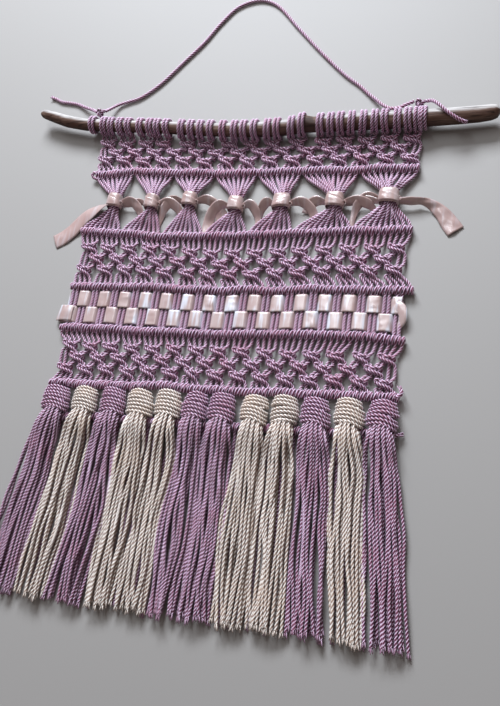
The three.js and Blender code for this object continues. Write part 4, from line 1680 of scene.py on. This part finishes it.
@dataclass
class Tassel:
    """A bunch of strands under a wrapped head, hanging over the last bar."""

    number: int
    x: float
    half: float
    foot_left: float
    foot_right: float
    finish: CordFinish
    wraps: int = 7
    front_strands: int = 10
    rear_strands: int = 7
    front_step: float = 1.1  # length of cord between two sections of a strand
    rear_step: float = 1.4
    # how deep the painted shade is between neighbouring strands
    nest_shade: float = 1.5
    profile: tuple[tuple[float, float, float], ...] = (
        # share of the way down the head, and its width and height there
        (0, 0.84, 0.84),
        (0.22, 0.96, 0.98),
        (0.7, 1.05, 1),
        (1, 1.0, 0.9),
    )

    def span(self) -> tuple[float, float]:
        """Gives the head's upper and lower y, between the last two bars."""
        places = (self.x - self.half, self.x, self.x + self.half)
        return min(map(BARS["row_5"].foot, places)), max(map(BARS["row_6"].top, places))

    def wrap_head(self) -> bpy.types.Object:
        """Wraps the head with turns of cord.

        Returns:
            The head's object.
        """
        work = CordWork(f"head_{self.number:02d}_wraps", self.finish, nest_shade=0.0)
        top, foot = self.span()
        shares, widths, heights = zip(*self.profile)
        pitch = (top - foot - CORD * 0.9) / (self.wraps - 1)
        split = work.random.choice((2, 3, 3, 4))
        for k in range(self.wraps):
            share = k / (self.wraps - 1)
            if k in (0, split):
                # a new group of turns, which lie alike
                slope = (-0.04 if k == 0 else -0.09) + work.random.gauss(0, 0.05)
                droop_left, droop_right = work.random.uniform(0, 2.4), work.random.uniform(0, 2.4)
                shift = work.random.gauss(0, 0.4)
            wide = self.half * float(np.interp(share, shares, widths)) - CORD / 2
            high = HEAD_TOP / 2 * float(np.interp(share, shares, heights)) - CORD / 2
            wide *= 1.02 + work.random.gauss(0, 0.035)
            y = top - CORD * 0.45 - pitch * k + (0.35 if k < split else -0.1)
            arch = 1.2 + work.random.gauss(0, 0.2)
            girth = math.pi * (3 * (wide + high) - math.sqrt((3 * wide + high) * (wide + 3 * high)))
            stops = round(girth / HEAD_STEP)
            points = []
            for stop in range(stops):
                angle = FULL_TURN * stop / stops
                across, up = math.cos(angle), math.sin(angle)
                droop = (droop_left if across < 0 else droop_right) * across * across * max(0.0, up + 0.3)
                points.append(
                    (
                        self.x + shift + wide * across,
                        y + slope * wide * across + arch * (max(0.0, up) - 0.55) - droop,
                        HEAD_TOP / 2 + high * up,
                    )
                )
            work.ring(points, turns=max(1, round(stops * HEAD_STEP / HEAD_LAY)), thickness=0.88)
        return work.make(f"head_{self.number:02d}")

    def strand_points(
        self, work: CordWork, share: float, front: bool, clump: float, sunk: float
    ) -> list[Point]:
        """Gives one strand's points from inside the head to its cut end.

        Args:
            work: The cord work, for its random draws.
            share: Its place across the tassel, from -1 to 1.
            front: Whether it lies in the front layer.
            clump: Seed of the bunches that neighbouring strands fall into.
            sunk: How far it lies below its neighbours near the head.

        Returns:
            The points.
        """
        foot = self.span()[1]
        end = FRINGE_END + work.random.uniform(-2.6, 2.8) + (0 if front else 2.0)
        foot_middle = (self.foot_left + self.foot_right) / 2
        foot_half = (self.foot_right - self.foot_left) / 2
        round_share = math.sqrt(max(0.0, 1 - share * share))
        length = foot - end
        sway = work.random.gauss(0, 1.1)
        swing = work.random.uniform(0, 100)
        drops, crests, edges, rears = zip(*SKIRT_SECTION)
        layer_rise = 4.2 if front else 0.5
        points = [(self.x + 6.2 * share, foot + 6, HEAD_TOP / 2 + layer_rise * round_share - 0.6)]
        for drop in (1.5, 8, 15, 25, 38, 55, 76, 100, 124, length):
            drop = min(drop, length)
            s = drop / length
            opened = 1 - math.exp(-drop / 24)
            half = mix(7.2, mix(self.half + 1.0, foot_half - 1.2, s), opened)
            gather = 4.4 * noise.noise(Vector((share * 3.3 + clump, drop / 58, 0))) * min(1.0, drop / 30)
            wave = 2.6 * noise.noise(Vector((drop / 32, swing, 7))) * min(1.0, drop / 20)
            x = mix(self.x, foot_middle, s) + half * share + gather + wave + sway * s * s
            crest = float(np.interp(drop, drops, crests))
            edge = float(np.interp(drop, drops, edges))
            rear = float(np.interp(drop, drops, rears))
            z = mix(edge, crest, round_share) if front else mix(min(edge, rear), rear, round_share)
            z += 1.7 * noise.noise(Vector((drop / 26, swing, clump))) * min(1.0, drop / 20)
            z -= sunk * math.exp(-drop / 40)
            points.append((x, foot - drop, max(z, CORD * 0.56)))
        return points

    def hang_strands(self) -> bpy.types.Object:
        """Hangs the strands.

        Returns:
            The skirt's object.
        """
        name = f"skirt_{self.number:02d}_strands"
        work = CordWork(name, self.finish, self.finish.fringe_lay, nest_shade=self.nest_shade)
        clump = work.random.uniform(0, 100)
        for count, front in ((self.rear_strands, False), (self.front_strands, True)):
            for k in range(count):
                inset = 0.02 if front else 0.1
                share = mix(-1 + inset, 1 - inset, k / (count - 1)) + work.random.gauss(0, 0.03)
                share = max(-1.0, min(1.0, share))
                sunk = 1.5 if k % 2 else 0.0
                points = self.strand_points(work, share, front, clump, sunk)
                step = self.front_step if front else self.rear_step
                work.run(points, thickness=0.94, frayed=True, step=step, outward=(0, 0, 1))
        return work.make(f"skirt_{self.number:02d}")


# x of the head, its half width, left and right of the fringe's end, finish
TASSEL_TABLE = (
    (-135, 12.4, -172, -138.3, MAUVE),
    (-108, 11.8, -137.7, -108.5, CREAM),
    (-82, 11.4, -107.9, -76.6, MAUVE),
    (-58, 11.6, -76, -50.2, CREAM),
    (-33.5, 11.6, -49.6, -23.6, CREAM),
    (-10.5, 10.8, -23, -0.3, MAUVE),
    (12.5, 11.3, 0.3, 26.1, MAUVE),
    (39, 11.6, 26.7, 54, CREAM),
    (63, 11.4, 54.6, 83, CREAM),
    (87.5, 11.8, 83.6, 112, MAUVE),
    (112.5, 11.8, 112.6, 140.2, CREAM),
    (137.5, 12, 140.8, 168, MAUVE),
)


@dataclass
class BackFringe:
    """The panel's own cord ends, which hang from the last bar behind the tassels."""

    strands: int = 44
    foot_left: float = -164.5
    foot_right: float = 161.5
    z: float = 1.7

    def build(self) -> bpy.types.Object:
        """Builds the back fringe.

        Returns:
            The fringe's object.
        """
        work = CordWork("back_fringe_strands", MAUVE, lay=MAUVE.fringe_lay, step=1.7)
        bar = BARS["row_6"]
        for k in range(self.strands):
            share = k / (self.strands - 1)
            x = mix(bar.left + 3, bar.right - 3, share)
            foot_x = mix(self.foot_left, self.foot_right, share) + work.random.gauss(0, 1.2)
            top = bar.foot(x)
            end = FRINGE_END + work.random.uniform(-2.5, 7)
            points = [(x, top + 1.5, 3.6)]
            for s in (0.03, 0.15, 0.3, 0.5, 0.75, 1):
                wobble = 1.6 * noise.noise(Vector((s * 4, k * 3.1, 0))) * s
                points.append((mix(x, foot_x, s) + wobble, mix(top, end, s), self.z))
            work.run(points, frayed=True)
        return work.make("back_fringe")


# ---------------------------------------------------------------- hanging cord


@dataclass(frozen=True)
class HangingCord:
    """One stretch of the hanging cord, along the route of its solid."""

    node: str
    far_end: str
    route: tuple[Point, ...]
    frayed: bool

    def build(self) -> bpy.types.Object:
        """Returns:
            The cord's object.
        """
        work = CordWork(f"{self.node}_cord", MAUVE)
        path = work.run(self.route)
        piece = work.make(self.node)
        if self.frayed:
            tuft = CordWork(f"{self.node}_tuft", MAUVE)
            tuft.fray(path, 1.0)
            tuft.make()
        LOG.info("%s: %.0f mm of cord", piece.name, path_length(path))
        return piece


HANGING_CORDS = (
    HangingCord(
        "hanger_loop",
        "object",
        (
            (-149.5, 180.4, 9.4),
            (-147.4, 185.2, 5.8),
            (-144.4, 189.2, 3.8),
            (-140.6, 192.4, 2.5),
            (-132, 195.4, 1.9),
            (-121, 199, 1.7),
            (-103, 213, 1.7),
            (-82, 238, 1.7),
            (-65, 259, 1.7),
            (-51, 281, 1.7),
            (-36, 298, 1.7),
            (-16, 303.5, 1.7),
            (1, 297, 1.7),
            (27, 267, 1.7),
            (50, 240, 1.7),
            (76, 212, 1.7),
            (91, 199, 1.7),
            (100.6, 188.9, 2.2),
            (107, 182.5, 3.6),
            (113.4, 175.5, 5.5),
            (120.5, 170.4, 7.5),
            (128.6, 170.2, 8.5),
            (134, 172.6, 9),
            (140.3, 174.6, 9.8),
        ),
        False,
    ),
    HangingCord(
        "hanger_end_left",
        "bare",
        (
            (-158.5, 179.8, 9.3),
            (-166, 185, 6),
            (-177, 190.6, 3.3),
            (-187, 195.6, 1.9),
            (-196.4, 197.8, 1.7),
            (-206, 199.8, 1.7),
            (-212, 203, 1.7),
            (-217, 205, 1.7),
        ),
        True,
    ),
    HangingCord(
        "hanger_end_right",
        "bare",
        (
            (150.7, 173.3, 11.2),
            (155, 171.2, 14.6),
            (159, 167, 17.8),
            (163.5, 161.8, 19.7),
            (167.7, 157.1, 20),
            (173.5, 152.7, 19),
            (178.6, 150, 17),
            (182.2, 149.3, 15),
        ),
        True,
    ),
)


@dataclass(frozen=True)
class CordKnot:
    """A small overhand knot in the hanging cord."""

    node: str
    centre: Point
    reach: float = 1.45
    stops: int = 40

    def build(self) -> bpy.types.Object:
        """Builds the knot.

        Returns:
            The knot's object.
        """
        work = CordWork(f"{self.node}_cord", MAUVE)
        points = []
        for k in range(self.stops):
            t = FULL_TURN * k / self.stops
            points.append(
                (
                    self.centre[0] + self.reach * (math.sin(t) + 1.6 * math.sin(2 * t)),
                    self.centre[1] + self.reach * (math.cos(t) - 1.6 * math.cos(2 * t)),
                    self.centre[2] + 1.7 * math.sin(3 * t),
                )
            )
        work.ring(points, turns=4, thickness=0.95)
        return work.make(self.node)


@dataclass(frozen=True)
class RodWrap:
    """Turns of the hanging cord round the rod."""

    node: str
    x: float
    turns: int = 2
    stops: int = 46

    def build(self) -> bpy.types.Object:
        """Builds the turns.

        Returns:
            The wrap's object.
        """
        work = CordWork(f"{self.node}_cord", MAUVE)
        for k in range(self.turns):
            x = self.x + (k - (self.turns - 1) / 2) * CORD * 0.98
            lean = work.random.gauss(0.4, 0.3)
            points = []
            for stop in range(self.stops):
                angle = 360 * stop / self.stops
                points.append(ROD.around(x + lean * math.sin(math.radians(angle)), angle, 1.5))
            work.ring(points, turns=6, thickness=0.94)
        return work.make(self.node)


# ---------------------------------------------------------------- studio

# name, place, size, power and colour
LAMPS = (
    ("window", (-0.46, 1.9, 1.28), (1.3, 0.7), 101, (0.86, 0.92, 1.0)),
    ("strip", (-0.22, 0.62, 1.25), (0.15, 0.8), 4.6, (0.9, 0.95, 1.0)),
)


@dataclass(frozen=True)
class Studio:
    """The camera, the lamps and the pale floor."""

    eye: Point = (220.06, -249.26, 584.15)
    right: Point = (0.95284, 0.14127, -0.26857)
    up: Point = (-0.04575, 0.94179, 0.33307)
    lens: float = 40.79
    sensor: float = 36.0
    floor_colour: Colour = (160, 157, 154)
    floor_reach: float = 6.0
    room_colour: tuple[float, float, float, float] = (1.0, 0.88, 0.84, 1.0)
    room_strength: float = 0.2

    def place_camera(self) -> None:
        """Places the camera and makes it the scene's own."""
        camera = bpy.data.cameras.new("camera")
        camera.lens = self.lens
        camera.sensor_width = self.sensor
        camera.clip_start = 0.01
        view = bpy.data.objects.new("camera", camera)
        right, up = Vector(self.right).normalized(), Vector(self.up).normalized()
        back = right.cross(up)
        turn = Matrix((right, up, back)).transposed().to_4x4()
        view.matrix_world = Matrix.Translation(Vector(self.eye) * MM) @ turn
        bpy.context.scene.collection.objects.link(view)
        bpy.context.scene.camera = view

    def light(self) -> None:
        """Sets the plain soft light: an even room, and a broad lamp beyond the hanging cord."""
        world = bpy.data.worlds.new("room")
        world.use_nodes = True
        room = world.node_tree.nodes["Background"]
        room.inputs["Color"].default_value = self.room_colour
        room.inputs["Strength"].default_value = self.room_strength
        bpy.context.scene.world = world
        for name, place, size, power, colour in LAMPS:
            lamp = bpy.data.lights.new(name, "AREA")
            lamp.shape = "RECTANGLE"
            lamp.size, lamp.size_y = size
            lamp.energy = power
            lamp.color = colour
            holder = bpy.data.objects.new(name, lamp)
            holder.location = place
            holder.rotation_euler = (-Vector(place)).to_track_quat("-Z", "Y").to_euler()
            bpy.context.scene.collection.objects.link(holder)

    def lay_floor(self) -> None:
        """Lays the pale floor."""
        shell = bmesh.new()
        bmesh.ops.create_grid(shell, x_segments=1, y_segments=1, size=self.floor_reach / 2)
        mesh = bpy.data.meshes.new("floor")
        shell.to_mesh(mesh)
        shell.free()
        bench = NodeBench("pale_floor")
        bench.shader.inputs["Base Color"].default_value = linear(self.floor_colour)
        bench.shader.inputs["Roughness"].default_value = 0.6
        mesh.materials.append(bench.material)
        floor = bpy.data.objects.new("floor", mesh)
        bpy.context.scene.collection.objects.link(floor)


def corners(box: tuple[Vector, Vector]) -> list[list[float]]:
    """Gives a box's two corners as plain lists."""
    return [[float(v) for v in corner] for corner in box]


def main() -> None:
    """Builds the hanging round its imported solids, class by class."""
    logging.basicConfig(level=logging.INFO, format="%(message)s")
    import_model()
    bpy.context.scene.view_settings.view_transform = "Standard"
    studio = Studio()
    studio.place_camera()
    for cord in HANGING_CORDS:
        cord.build()
    studio.light()
    studio.lay_floor()
    ROD.build()
    CordKnot("hanger_knot_left", (-154.2, 178.4, 10.2)).build()
    CordKnot("hanger_knot_right", (145.6, 172.3, 9.8)).build()
    RodWrap("hanger_wrap_left", -158).build()
    RodWrap("hanger_wrap_right", 149.6).build()
    for band in BANDS:
        band.build()
    for name, bar in BARS.items():
        # light painted shade between neighbouring hitches
        work = CordWork(f"{name}_hitches", MAUVE, nest_shade=0.4)
        bar.tie(work, BAR_ENDS.get(name, ()))
        if name == "row_4":
            WARPS.lay(work)
        work.make(name)
    for bundle in bundles():
        bundle.build()
    TyingRibbon().build()
    WovenRibbon().build()
    for k, (x, half, left, right, finish) in enumerate(TASSEL_TABLE):
        tassel = Tassel(k + 1, x, half, left, right, finish)
        tassel.wrap_head()
        tassel.hang_strands()
    BackFringe().build()
    CordWork.drop_section()


if __name__ == "__main__":
    main()
